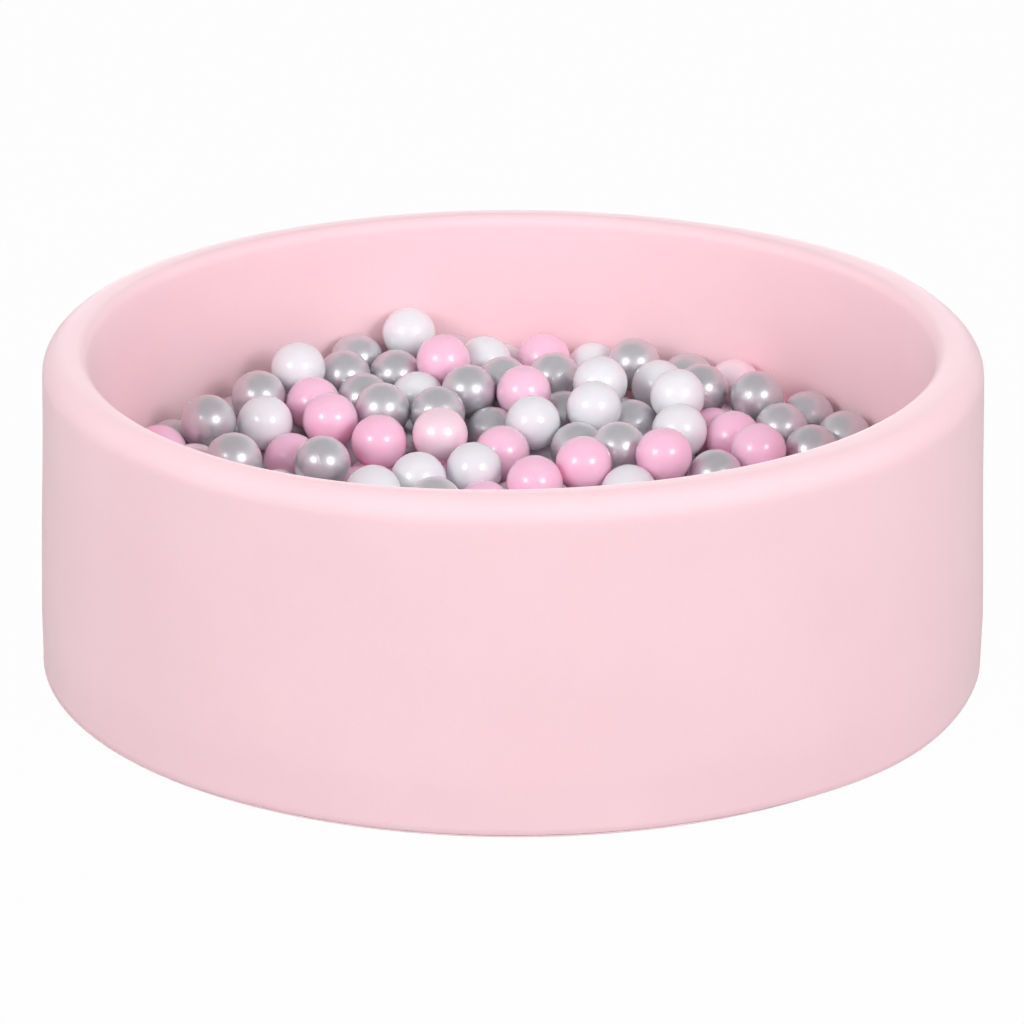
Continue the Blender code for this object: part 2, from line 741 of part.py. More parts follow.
def add_dome(bm, place, foot, slot):
    """A ball of the bed: its upper half, on a stem that narrows down to the core at the height foot."""
    x, y, z = place
    rings = []
    for latitude in DOME_LATITUDES_DEG:
        a = math.radians(latitude)
        rings.append((BALL_RADIUS * math.cos(a), z + BALL_RADIUS * math.sin(a)))
    rings.append((BALL_RADIUS * STEM_FOOT_SHARE, foot))
    loops = []
    for radius, height in rings:
        loop = []
        for i in range(DOME_SEGMENTS):
            a = math.tau * i / DOME_SEGMENTS
            loop.append(bm.verts.new((x + radius * math.cos(a), y + radius * math.sin(a), height)))
        loops.append(loop)
    pole = bm.verts.new((x, y, z + BALL_RADIUS))
    faces = [bm.faces.new(list(reversed(loops[-1])))]
    for i in range(DOME_SEGMENTS):
        k = (i + 1) % DOME_SEGMENTS
        faces.append(bm.faces.new((pole, loops[0][i], loops[0][k])))
        for above, below in zip(loops, loops[1:]):
            faces.append(bm.faces.new((above[i], below[i], below[k], above[k])))
    for face in faces:
        face.material_index = slot


def core_level(places, loose):
    """How far the core's top lies from the heap's surface: just under the lowest loose ball."""
    lowest = min(places[i][2] - HEAP_SLOPE_SHARE * places[i][1] for i in loose)
    return lowest - BALL_RADIUS - CORE_CLEARANCE


def core_block(bm, level):
    """The core: the balls below the ones in view, as one plain block with a top that slopes like the heap."""
    radius = INNER_RADIUS - FIT_GAP
    made = bmesh.ops.create_cone(
        bm, cap_ends=True, segments=RING_SEGMENTS, radius1=radius, radius2=radius, depth=1.0
    )
    for v in made["verts"]:
        v.co.z = level + HEAP_SLOPE_SHARE * v.co.y if v.co.z > 0 else FLOOR_TOP + FIT_GAP


def ball_bed(places, colours, loose, materials, collection):
    """The balls that stay: one solid of domes on their common core, with a dome right under each loose ball."""
    level = core_level(places, loose)
    bm = bmesh.new()
    core_block(bm, level)
    core = from_bmesh("ball_bed", bm, [], collection)
    bm = bmesh.new()
    beneath = [places[i] - np.array([0.0, 0.0, BALL_DIAMETER + FIT_GAP]) for i in loose]
    carried = [(places[i], colours[i]) for i in range(len(places)) if i not in loose]
    carried += [(place, COLOURS[i % len(COLOURS)]) for i, place in enumerate(beneath)]
    for place, colour in carried:
        core_top = level + HEAP_SLOPE_SHARE * (place[1] - BALL_RADIUS)
        foot = min(core_top - STEM_SUNK, place[2] - BALL_RADIUS / 2)
        add_dome(bm, place, foot, COLOURS.index(colour))
    domes = from_bmesh("domes", bm, materials, collection)
    for mat in materials:
        core.data.materials.append(mat)
    modifier = core.modifiers.new("domes", "BOOLEAN")
    modifier.operation = "UNION"
    modifier.solver = "EXACT"
    modifier.use_self = True
    modifier.object = domes
    seen = core.evaluated_get(bpy.context.evaluated_depsgraph_get())
    whole = bpy.data.meshes.new_from_object(seen)
    core.modifiers.clear()
    core.data = whole
    bpy.data.objects.remove(domes, do_unlink=True)
    whole.shade_smooth()
    whole.set_sharp_from_angle(angle=math.radians(55.0))
    return core


def main():
    clear_scene()
    pit = new_collection("ball_pit")
    cutters = new_collection("cutters")
    cover = [new_material("pink_jersey", (0.93, 0.66, 0.71), 0.9)]
    foam = [new_material("white_foam", (0.86, 0.84, 0.78), 0.95)]
    lining = [new_material("base_cloth", (0.80, 0.74, 0.75), 0.9)]
    zips = {
        "zip_tape": [new_material("zip_tape", (0.93, 0.70, 0.74), 0.8)],
        "zip_hard": [new_material("zip_slider_enamel", (0.93, 0.72, 0.76), 0.35)],
    }
    colours_of = {
        "pink": new_material("pink_ball", (0.95, 0.40, 0.60), 0.25),
        "white": new_material("white_ball", (0.86, 0.85, 0.87), 0.25),
        "silver": new_material("silver_ball", (0.45, 0.47, 0.50), 0.3, 0.4),
    }
    foam_ring(foam, pit, cutters)
    disc("foam_mat", FOAM_INNER_RADIUS - FIT_GAP, FOAM_BOTTOM, MAT_TOP, foam, pit)
    sleeve(cover, pit, cutters)
    disc("cover_floor", INNER_RADIUS - FIT_GAP, FLOOR_BOTTOM, FLOOR_TOP, cover, pit)
    disc("cover_base", OUTER_RADIUS, 0.0, CLOTH, lining, pit)
    zip_parts(zips, pit)
    places, colours = heap_layout()
    loose = loose_choice(places)
    ball_bed(places, colours, loose, [colours_of[c] for c in COLOURS], pit)
    for number, i in enumerate(loose, start=1):
        ball(f"ball_{number:02d}", places[i], colours_of[colours[i]], pit)
    highest = max(place[2] + BALL_RADIUS for place in places)
    print(f"{len(places)} balls in the top layer, {len(loose)} of them loose, the highest up to {highest:.4f} m")


main()
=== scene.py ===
# %% [markdown]
# # A foam ball pit
# This is a round play pit for a nursery: a ring of soft foam in a pink jersey cover, part filled with
# hollow plastic balls in pink, white and silver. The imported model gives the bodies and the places, and
# this script dresses each of its pieces.

# %% Load the frame
import math

import bmesh
import bpy
import numpy as np
from mathutils import Matrix, Vector


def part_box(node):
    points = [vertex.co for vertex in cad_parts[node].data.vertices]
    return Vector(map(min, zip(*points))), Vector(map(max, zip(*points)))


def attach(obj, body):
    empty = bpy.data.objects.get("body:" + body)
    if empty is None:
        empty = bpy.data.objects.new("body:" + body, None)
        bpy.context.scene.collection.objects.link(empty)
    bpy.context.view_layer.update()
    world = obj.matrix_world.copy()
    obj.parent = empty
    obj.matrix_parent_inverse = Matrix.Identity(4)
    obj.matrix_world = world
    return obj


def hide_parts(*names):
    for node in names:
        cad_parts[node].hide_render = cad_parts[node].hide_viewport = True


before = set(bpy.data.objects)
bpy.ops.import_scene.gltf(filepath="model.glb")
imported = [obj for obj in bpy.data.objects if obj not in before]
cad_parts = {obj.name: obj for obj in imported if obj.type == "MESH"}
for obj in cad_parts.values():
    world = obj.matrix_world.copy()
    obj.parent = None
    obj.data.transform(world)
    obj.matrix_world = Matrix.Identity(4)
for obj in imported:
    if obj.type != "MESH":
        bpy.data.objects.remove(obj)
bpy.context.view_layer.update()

# %% [markdown]
# Lengths are in metres, from the middle of the base on the ground. The wall is a strip of foam 51 mm
# thick with 1.2 mm of jersey on each face. It stands 310 mm high, and above its lowest 50 mm its outside
# leans in by 9 mm. A gap of 0.3 mm is left between cloth and foam, so no two pieces share a face.

# %% Real sizes, in metres
OUTER_RADIUS = 0.452
WALL_LEAN = 0.009
LEAN_START = 0.050
RIM_RADIUS = OUTER_RADIUS - WALL_LEAN
HEIGHT = 0.310
CLOTH = 0.0012
GAP = 0.0003
FOAM_WALL = 0.051
FOAM_MAT = 0.025
RIM_OUTER_ROUND = 0.024
RIM_INNER_ROUND = 0.012
FOAM_OUTER = OUTER_RADIUS - CLOTH - GAP
FOAM_INNER = FOAM_OUTER - FOAM_WALL
INNER_RADIUS = FOAM_INNER - GAP - CLOTH
FOAM_BOTTOM = CLOTH + GAP
FLOOR_BOTTOM = FOAM_BOTTOM + FOAM_MAT + GAP
FLOOR_TOP = FLOOR_BOTTOM + CLOTH
print(f"wall from {INNER_RADIUS:.4f} to {OUTER_RADIUS:.4f} m from the middle, floor {FLOOR_TOP:.4f} m up")

# %% [markdown]
# Colours are written as a paint chart gives them, in sRGB hex. Blender's shaders work in linear light,
# so one function turns every one of them. A second small function adds a node with its settings and
# links, which keeps each material readable as a recipe.


# %% Helpers for colours and nodes
def colour(hex_code):
    """An sRGB hex colour as linear RGBA."""
    parts = [int(hex_code[i : i + 2], 16) / 255 for i in (1, 3, 5)]
    return (*[c / 12.92 if c <= 0.04045 else ((c + 0.055) / 1.055) ** 2.4 for c in parts], 1.0)


def add(tree, kind, inputs=None, **settings):
    """Adds a node. Each input is a value or the socket that feeds it."""
    made = tree.nodes.new(kind)
    for name, value in settings.items():
        setattr(made, name, value)
    for key, value in (inputs or {}).items():
        socket = made.inputs[key]
        if isinstance(value, bpy.types.NodeSocket):
            tree.links.new(value, socket)
        else:
            socket.default_value = value
    return made


def new_material(name):
    """A material with only a Principled shader. Returns it, its tree and the shader."""
    made = bpy.data.materials.new(name)
    made.use_nodes = True
    return made, made.node_tree, made.node_tree.nodes["Principled BSDF"]


print("the grey #808080 is", round(colour("#808080")[0], 3), "in linear light")

# %% [markdown]
# The cover is cotton and elastane jersey, knitted in one colour. From a step away it is a flat, chalky
# pink that goes paler where you look along it, because its fuzz catches the light: that is the sheen.
# Close up, the knit shows as upright columns of small V-shaped loops. The real columns are 0.9 mm
# apart, which is finer than a pixel here, so they are drawn 1.8 mm apart. The pattern follows the
# cloth, so it reads the piece's own attribute, which holds metres along and up the cloth.
#
# On Object coordinates a noise texture's scale is the number of patches to the metre. Yarn is thick and
# thin every 7 mm, lint lies about 2.4 mm apart, and the dye drifts over the width of a hand.

# %% Jersey
KNIT_COLUMN = 0.0018
KNIT_ROW = 0.0015
KNIT_SLANT = 1.1
KNIT_SHARE = 0.35
LINT_SHARE = 0.35
SLUBS_PER_METRE = 140.0
LINT_PER_METRE = 420.0
DYE_PATCHES_PER_METRE = 7.0


def knit_bump(tree):
    """Loops of jersey: columns of V shapes. Returns the socket of the bumped normal."""
    cloth = add(tree, "ShaderNodeAttribute", attribute_name="cloth")
    split = add(tree, "ShaderNodeSeparateXYZ", {"Vector": cloth.outputs["Vector"]})
    across = add(tree, "ShaderNodeMath", {0: split.outputs["X"], 1: KNIT_COLUMN}, operation="PINGPONG")
    lean = add(tree, "ShaderNodeMath", {0: across.outputs[0], 1: KNIT_SLANT}, operation="MULTIPLY")
    risen = add(tree, "ShaderNodeMath", {0: split.outputs["Y"], 1: lean.outputs[0]}, operation="ADD")
    turns = add(tree, "ShaderNodeMath", {0: risen.outputs[0], 1: math.tau / KNIT_ROW}, operation="MULTIPLY")
    loops = add(tree, "ShaderNodeMath", {0: turns.outputs[0]}, operation="SINE")
    column = add(
        tree,
        "ShaderNodeMath",
        {0: across.outputs[0], 1: math.pi / KNIT_COLUMN},
        operation="MULTIPLY",
    )
    groove = add(tree, "ShaderNodeMath", {0: column.outputs[0]}, operation="SINE")
    both = add(tree, "ShaderNodeMath", {0: loops.outputs[0], 1: groove.outputs[0]}, operation="MULTIPLY")
    place = add(tree, "ShaderNodeTexCoord")
    slub = add(
        tree,
        "ShaderNodeTexNoise",
        {"Vector": place.outputs["Object"], "Scale": SLUBS_PER_METRE, "Detail": 3.0},
    )
    height = add(
        tree,
        "ShaderNodeMath",
        {0: both.outputs[0], 1: KNIT_SHARE, 2: slub.outputs["Fac"]},
        operation="MULTIPLY_ADD",
    )
    bump = add(tree, "ShaderNodeBump", {"Height": height.outputs[0], "Strength": 0.35, "Distance": 0.0004})
    return bump.outputs["Normal"]


def jersey(name, light, deep):
    """Knitted jersey whose colour drifts a little from light to deep, as dyed cotton does."""
    made, tree, shader = new_material(name)
    place = add(tree, "ShaderNodeTexCoord")
    drift = add(
        tree,
        "ShaderNodeTexNoise",
        {"Vector": place.outputs["Object"], "Scale": DYE_PATCHES_PER_METRE, "Detail": 4.0, "Roughness": 0.55},
    )
    lint = add(
        tree,
        "ShaderNodeTexNoise",
        {"Vector": place.outputs["Object"], "Scale": LINT_PER_METRE, "Detail": 2.0},
    )
    mixed = add(
        tree,
        "ShaderNodeMath",
        {0: lint.outputs["Fac"], 1: LINT_SHARE, 2: drift.outputs["Fac"]},
        operation="MULTIPLY_ADD",
    )
    ramp = add(tree, "ShaderNodeValToRGB", {"Fac": mixed.outputs[0]})
    ramp.color_ramp.elements[0].position = 0.45
    ramp.color_ramp.elements[0].color = colour(light)
    ramp.color_ramp.elements[1].position = 0.95
    ramp.color_ramp.elements[1].color = colour(deep)
    tree.links.new(ramp.outputs["Color"], shader.inputs["Base Color"])
    tree.links.new(knit_bump(tree), shader.inputs["Normal"])
    shader.inputs["Roughness"].default_value = 0.65
    shader.inputs["Specular IOR Level"].default_value = 0.3
    shader.inputs["Sheen Weight"].default_value = 1.0
    shader.inputs["Sheen Roughness"].default_value = 0.4
    shader.inputs["Sheen Tint"].default_value = colour("#DCD2D6")
    return made


pink_jersey = jersey("pink cotton jersey, knitted", "#F9D4DC", "#F7CFD8")
print("made", pink_jersey.name)

# %% [markdown]
# Hidden under the cover is open-cell upholstery foam, cut with a hot wire. It is off-white, matt and
# full of small cells, so its bump is a fine cell pattern about 1 mm wide. The base is plain-woven
# polyester lining, whose over and under threads are two sets of bands, one across the other.

# %% Foam and lining
CELLS_PER_METRE = 900.0
THREAD_SPACING = 0.0012
# A band is an over and an under thread, and at a scale of 1 the bands of a wave texture are tau / 20 apart.
WEAVE_SCALE = math.tau / 20 / (2 * THREAD_SPACING)


def foam():
    """Foam with cells 1.1 mm wide, which yellows a little in patches 7 cm across."""
    made, tree, shader = new_material("white upholstery foam, hot-wire cut")
    place = add(tree, "ShaderNodeTexCoord")
    cells = add(tree, "ShaderNodeTexVoronoi", {"Vector": place.outputs["Object"], "Scale": CELLS_PER_METRE})
    tone = add(tree, "ShaderNodeTexNoise", {"Vector": place.outputs["Object"], "Scale": 14.0, "Detail": 4.0})
    ramp = add(tree, "ShaderNodeValToRGB", {"Fac": tone.outputs["Fac"]})
    ramp.color_ramp.elements[0].color = colour("#F3EFE4")
    ramp.color_ramp.elements[1].color = colour("#E6DFCC")
    bump = add(
        tree,
        "ShaderNodeBump",
        {"Height": cells.outputs["Distance"], "Strength": 0.5, "Distance": 0.0006},
    )
    tree.links.new(ramp.outputs["Color"], shader.inputs["Base Color"])
    tree.links.new(bump.outputs["Normal"], shader.inputs["Normal"])
    shader.inputs["Roughness"].default_value = 0.95
    shader.inputs["Specular IOR Level"].default_value = 0.2
    return made


def lining():
    """Plain-woven polyester, a little slick, with threads 1.2 mm apart."""
    made, tree, shader = new_material("blush polyester lining, plain weave")
    place = add(tree, "ShaderNodeTexCoord")
    weave = []
    for side in ("X", "Y"):
        bands = add(
            tree,
            "ShaderNodeTexWave",
            {"Vector": place.outputs["Object"], "Scale": WEAVE_SCALE, "Distortion": 0.4, "Detail": 1.0},
            bands_direction=side,
        )
        weave.append(bands.outputs["Fac"])
    crossed = add(tree, "ShaderNodeMath", {0: weave[0], 1: weave[1]}, operation="MULTIPLY")
    bump = add(tree, "ShaderNodeBump", {"Height": crossed.outputs[0], "Strength": 0.5, "Distance": 0.0004})
    tone = add(tree, "ShaderNodeTexNoise", {"Vector": place.outputs["Object"], "Scale": 9.0, "Detail": 3.0})
    ramp = add(tree, "ShaderNodeValToRGB", {"Fac": tone.outputs["Fac"]})
    ramp.color_ramp.elements[0].color = colour("#F0D3DA")
    ramp.color_ramp.elements[1].color = colour("#E6C5CE")
    tree.links.new(ramp.outputs["Color"], shader.inputs["Base Color"])
    tree.links.new(bump.outputs["Normal"], shader.inputs["Normal"])
    shader.inputs["Roughness"].default_value = 0.6
    return made


white_foam = foam()
base_lining = lining()
print("made", white_foam.name, "and", base_lining.name)

# %% [markdown]
# The zip has a woven tape, a nylon coil and a small enamelled slider. The tape is a twill with slanted
# ribs every 0.9 mm. The coil and the sewing thread are plain and smooth. The enamel is a thin glossy
# paint on cast zinc, so it gets a clear coat.

# %% Zip finishes
TWILL_SPACING = 0.0009


def zip_tape():
    """Twill tape: its ribs are a sine along the slant of the cloth."""
    made, tree, shader = new_material("pink polyester zip tape, twill woven")
    cloth = add(tree, "ShaderNodeAttribute", attribute_name="cloth")
    split = add(tree, "ShaderNodeSeparateXYZ", {"Vector": cloth.outputs["Vector"]})
    slant = add(tree, "ShaderNodeMath", {0: split.outputs["X"], 1: split.outputs["Y"]}, operation="ADD")
    turns = add(
        tree,
        "ShaderNodeMath",
        {0: slant.outputs[0], 1: math.tau / TWILL_SPACING},
        operation="MULTIPLY",
    )
    ribs = add(tree, "ShaderNodeMath", {0: turns.outputs[0]}, operation="SINE")
    bump = add(tree, "ShaderNodeBump", {"Height": ribs.outputs[0], "Strength": 0.5, "Distance": 0.0003})
    place = add(tree, "ShaderNodeTexCoord")
    tone = add(tree, "ShaderNodeTexNoise", {"Vector": place.outputs["Object"], "Scale": 90.0, "Detail": 3.0})
    ramp = add(tree, "ShaderNodeValToRGB", {"Fac": tone.outputs["Fac"]})
    ramp.color_ramp.elements[0].color = colour("#F2BCC8")
    ramp.color_ramp.elements[1].color = colour("#E8AEBB")
    tree.links.new(ramp.outputs["Color"], shader.inputs["Base Color"])
    tree.links.new(bump.outputs["Normal"], shader.inputs["Normal"])
    shader.inputs["Roughness"].default_value = 0.75
    return made


def moulded(name, main, second, roughness, coat):
    """A smooth finish whose colour and gloss drift a little, in patches 8 mm across."""
    made, tree, shader = new_material(name)
    place = add(tree, "ShaderNodeTexCoord")
    tone = add(tree, "ShaderNodeTexNoise", {"Vector": place.outputs["Object"], "Scale": 120.0, "Detail": 3.0})
    ramp = add(tree, "ShaderNodeValToRGB", {"Fac": tone.outputs["Fac"]})
    ramp.color_ramp.elements[0].color = colour(main)
    ramp.color_ramp.elements[1].color = colour(second)
    gloss = add(
        tree,
        "ShaderNodeMapRange",
        {"Value": tone.outputs["Fac"], "To Min": roughness * 0.85, "To Max": roughness * 1.15},
    )
    bump = add(tree, "ShaderNodeBump", {"Height": tone.outputs["Fac"], "Strength": 0.1, "Distance": 0.0003})
    tree.links.new(ramp.outputs["Color"], shader.inputs["Base Color"])
    tree.links.new(gloss.outputs["Result"], shader.inputs["Roughness"])
    tree.links.new(bump.outputs["Normal"], shader.inputs["Normal"])
    shader.inputs["Coat Weight"].default_value = coat
    shader.inputs["Coat Roughness"].default_value = 0.08
    return made


tape_cloth = zip_tape()
coil_nylon = moulded("pink nylon coil", "#F3B9C6", "#EBABBA", 0.35, 0.0)
slider_enamel = moulded("pink enamel on cast zinc", "#F4BFCB", "#EFB4C2", 0.3, 0.8)
seam_thread = moulded("pink polyester sewing thread", "#F3BAC8", "#EDB0BF", 0.6, 0.0)
print("zip finishes:", ", ".join(made.name for made in (tape_cloth, coil_nylon, slider_enamel, seam_thread)))

# %% [markdown]
# The balls are blow-moulded from polyethylene, 55 mm across, so each has a faint seam round its middle
# where the two halves of the mould met. Pink and white are plain glossy plastic that lets a little
# light in. The silver ones, and a few pale pink ones, carry pearl pigment: fine flakes under a clear
# skin, which give a broad soft glow round the small sharp highlight. The seam and the swirl of the
# pigment read an attribute that every ball carries with it, which holds the place on that ball in radii.
# The seam is 1.2 mm wide, and the patches of the swirl are 12 mm wide.

# %% Ball finishes
SEAM_HALF_WIDTH = 0.022
GLOW_DEPTHS = (0.020, 0.012, 0.014)


def ball_plastic(name, light, deep, metallic, roughness, glow, swirl):
    """Polyethylene from light to deep: glow lets light in, and swirl is how far the pigment flows."""
    made, tree, shader = new_material(name)
    spot = add(tree, "ShaderNodeAttribute", attribute_name="on_ball")
    tone = add(tree, "ShaderNodeAttribute", attribute_name="ball_tone")
    shifted = add(
        tree,
        "ShaderNodeVectorMath",
        {0: spot.outputs["Vector"], 1: tone.outputs["Vector"]},
        operation="ADD",
    )
    flow = add(
        tree,
        "ShaderNodeTexNoise",
        {"Vector": shifted.outputs["Vector"], "Scale": 2.2, "Detail": 3.0, "Distortion": 1.2},
    )
    mixed = add(
        tree,
        "ShaderNodeMath",
        {0: flow.outputs["Fac"], 1: swirl, 2: tone.outputs["Fac"]},
        operation="MULTIPLY_ADD",
    )
    level = add(
        tree,
        "ShaderNodeMapRange",
        {"Value": mixed.outputs[0], "From Min": 0.0, "From Max": 1.0 + swirl},
    )
    ramp = add(tree, "ShaderNodeValToRGB", {"Fac": level.outputs["Result"]})
    ramp.color_ramp.elements[0].color = colour(light)
    ramp.color_ramp.elements[1].color = colour(deep)
    split = add(tree, "ShaderNodeSeparateXYZ", {"Vector": spot.outputs["Vector"]})
    away = add(tree, "ShaderNodeMath", {0: split.outputs["Z"]}, operation="ABSOLUTE")
    seam = add(
        tree,
        "ShaderNodeMapRange",
        {
            "Value": away.outputs[0],
            "From Min": 0.0,
            "From Max": SEAM_HALF_WIDTH,
            "To Min": 1.0,
            "To Max": 0.0,
        },
        interpolation_type="SMOOTHSTEP",
    )
    bump = add(
        tree,
        "ShaderNodeBump",
        {"Height": seam.outputs["Result"], "Strength": 0.35, "Distance": 0.0003},
    )
    tree.links.new(ramp.outputs["Color"], shader.inputs["Base Color"])
    tree.links.new(bump.outputs["Normal"], shader.inputs["Normal"])
    shader.inputs["Metallic"].default_value = metallic
    shader.inputs["Roughness"].default_value = roughness
    shader.inputs["Coat Weight"].default_value = 1.0
    shader.inputs["Coat Roughness"].default_value = 0.20
    shader.inputs["Subsurface Weight"].default_value = glow
    shader.inputs["Subsurface Radius"].default_value = GLOW_DEPTHS
    shader.inputs["Subsurface Scale"].default_value = 1.0
    return made


BALL_FINISHES = {
    "pink": ball_plastic("pink polyethylene, blow-moulded", "#FFC9E2", "#FFC2DD", 0.0, 0.30, 0.5, 0.2),
    "white": ball_plastic("white polyethylene, blow-moulded", "#ECEDF1", "#E6E7EC", 0.0, 0.30, 0.4, 0.2),
    "silver": ball_plastic(
        "silver pearl polyethylene, blow-moulded", "#D6D5DA", "#C6C5CA", 0.6, 0.33, 0.0, 0.8
    ),
    "blush": ball_plastic(
        "pale pink pearl polyethylene, blow-moulded", "#FFE6F0", "#FFDCE9", 0.2, 0.36, 0.3, 0.5
    ),
}
print("ball finishes:", ", ".join(BALL_FINISHES))

# %% [markdown]
# The photograph was taken from in front and a little above, with a long lens from about four metres
# away. The camera's place was found from the outline of the pit in the picture. It also leans by a fifth
# of a degree, as a camera held by hand does.

# %% Camera
EYE = Vector((0.0, -3.771, 1.547))
TILT_DEG = 20.56
ROLL_DEG = 0.186
LENS_PIXELS = 4199.6
FRAME_PIXELS = 1024
MIDDLE_PIXEL = 512.3

lens = bpy.data.cameras.new("camera")
lens.sensor_width = 36.0
lens.lens = LENS_PIXELS / FRAME_PIXELS * lens.sensor_width
lens.shift_x = (FRAME_PIXELS / 2 - MIDDLE_PIXEL) / FRAME_PIXELS
lens.clip_end = 60.0
camera = bpy.data.objects.new("camera", lens)
bpy.context.scene.collection.objects.link(camera)
tilted = Matrix.Rotation(math.radians(90.0 - TILT_DEG), 4, "X")
camera.matrix_world = Matrix.Translation(EYE) @ tilted @ Matrix.Rotation(math.radians(ROLL_DEG), 4, "Z")
bpy.context.scene.camera = camera
bpy.context.scene.view_settings.view_transform = "Standard"
print(f"lens {lens.lens:.1f} mm, eye at {tuple(EYE)}")

# %% [markdown]
# Every ball shows two small highlights side by side, so two soft boxes stood in front, one on each side
# of the camera and a little higher. Each is a square lamp of 1.1 m, aimed at the middle of the pit.

# %% Soft boxes
SOFT_BOX_SIDE = 1.1
SOFT_BOX_DISTANCE = 4.0
SOFT_BOX_RISE_DEG = 29.0
AIM = Vector((0.0, 0.0, 0.15))


def soft_box(name, turn_deg, strength):
    """A square lamp that faces the pit, seen from it turn_deg to one side of the camera."""
    turn, rise = math.radians(turn_deg), math.radians(SOFT_BOX_RISE_DEG)
    lamp = bpy.data.lights.new(name, "AREA")
    lamp.shape = "SQUARE"
    lamp.size = SOFT_BOX_SIDE
    lamp.energy = strength
    made = bpy.data.objects.new(name, lamp)
    bpy.context.scene.collection.objects.link(made)
    away = Vector((math.sin(turn) * math.cos(rise), -math.cos(turn) * math.cos(rise), math.sin(rise)))
    made.location = away * SOFT_BOX_DISTANCE + AIM
    made.rotation_euler = away.to_track_quat("Z", "Y").to_euler()
    print(name, "at", [round(c, 2) for c in made.location])


soft_box("left soft box", -44.0, 38.0)
soft_box("right soft box", 40.0, 46.0)

# %% [markdown]
# The inside of the pit is as bright as its front and the rim is not brighter, so most of the other light
# came from low in front, some from low behind, and little from the ceiling. The world says how bright
# the room is from the horizon (0) up to overhead (1), once on the side of the camera and once on the far
# side, and blends the two on the way round. Gloss sees a plain pale room, and the camera sees white.
# Light goes from ball to ball many times before it leaves the heap, so eight bounces are allowed.

# %% Light of the room
FRONT_LEVELS = (
    (0.0, 0.28),
    (0.20, 0.75),
    (0.32, 1.40),
    (0.46, 1.40),
    (0.58, 0.60),
    (0.80, 0.20),
    (1.0, 0.20),
)
BEHIND_LEVELS = ((0.0, 2.10), (0.20, 1.60), (0.34, 0.50), (0.50, 0.22), (1.0, 0.20))
FRONT_WAY = (0.15, -0.99, 0.0)
BLEND_FROM, BLEND_TO = -0.45, 0.3
ROOM_STRENGTH = 1.44

bpy.context.scene.cycles.diffuse_bounces = 8
room = bpy.data.worlds.new("white studio")
room.use_nodes = True
sky = room.node_tree
sky.nodes.clear()
path = add(sky, "ShaderNodeLightPath")
place = add(sky, "ShaderNodeTexCoord")
towards = add(sky, "ShaderNodeSeparateXYZ", {"Vector": place.outputs["Generated"]})
facing = add(
    sky,
    "ShaderNodeVectorMath",
    {0: place.outputs["Generated"], 1: FRONT_WAY},
    operation="DOT_PRODUCT",
)
levels = []
for marks in (FRONT_LEVELS, BEHIND_LEVELS):
    ramp = add(sky, "ShaderNodeValToRGB", {"Fac": towards.outputs["Z"]})
    stops = ramp.color_ramp.elements
    stops.remove(stops[1])
    for i, (height, grey) in enumerate(marks):
        stop = stops.new(height) if i else stops[0]
        stop.color = (grey, grey, grey, 1.0)
    levels.append(ramp.outputs["Color"])
front, behind = levels
blended = add(
    sky,
    "ShaderNodeMapRange",
    {
        "Value": facing.outputs["Value"],
        "From Min": BLEND_FROM,
        "From Max": BLEND_TO,
        "To Min": behind,
        "To Max": front,
    },
)
filled = add(sky, "ShaderNodeMath", {0: blended.outputs["Result"], 1: ROOM_STRENGTH}, operation="MULTIPLY")
ceiling = add(
    sky,
    "ShaderNodeMapRange",
    {"Value": towards.outputs["Z"], "From Min": 0.35, "From Max": 0.85, "To Min": 0.85, "To Max": 0.45},
    interpolation_type="SMOOTHSTEP",
)
fill = add(sky, "ShaderNodeBackground", {"Color": colour("#FFFFFF"), "Strength": filled.outputs[0]})
mirrored = add(
    sky,
    "ShaderNodeBackground",
    {"Color": colour("#FFFFFF"), "Strength": ceiling.outputs["Result"]},
)
light = add(
    sky,
    "ShaderNodeMixShader",
    {0: path.outputs["Is Glossy Ray"], 1: fill.outputs[0], 2: mirrored.outputs[0]},
)
paper = add(sky, "ShaderNodeBackground", {"Color": colour("#FEFEFE"), "Strength": 1.0})
seen = add(
    sky,
    "ShaderNodeMixShader",
    {0: path.outputs["Is Camera Ray"], 1: light.outputs[0], 2: paper.outputs[0]},
)
add(sky, "ShaderNodeOutputWorld", {"Surface": seen.outputs[0]})
bpy.context.scene.world = room
print(room.name, "with", len(FRONT_LEVELS), "levels in front and", len(BEHIND_LEVELS), "behind")

# %% [markdown]
# The floor is a plain grey that throws some light back up on the pit. Rays from the camera and from gloss
# see it nearly as white paper: a small share of the grey is left, and with it a faint shadow. It lies a
# hair below the base, so that the two faces don't fight for the same place.

# %% Floor
FLOOR_HALF_SIDE = 12.0
FLOOR_DROP = 0.0002
PAPER_SHARE = 0.96

floor_mesh = bpy.data.meshes.new("floor")
bm = bmesh.new()
bmesh.ops.create_grid(bm, x_segments=1, y_segments=1, size=FLOOR_HALF_SIDE)
bmesh.ops.translate(bm, vec=(0.0, 0.0, -FLOOR_DROP), verts=bm.verts)
bm.to_mesh(floor_mesh)
bm.free()
floor = bpy.data.objects.new("floor", floor_mesh)
bpy.context.scene.collection.objects.link(floor)
white_floor = bpy.data.materials.new("white studio floor")
white_floor.use_nodes = True
ground = white_floor.node_tree
ground.nodes.clear()
path = add(ground, "ShaderNodeLightPath")
matt = add(ground, "ShaderNodeBsdfDiffuse", {"Color": colour("#868686")})
paper = add(ground, "ShaderNodeEmission", {"Color": colour("#FFFFFF"), "Strength": 1.02})
rays = add(
    ground,
    "ShaderNodeMath",
    {0: path.outputs["Is Camera Ray"], 1: path.outputs["Is Glossy Ray"]},
    operation="MAXIMUM",
)
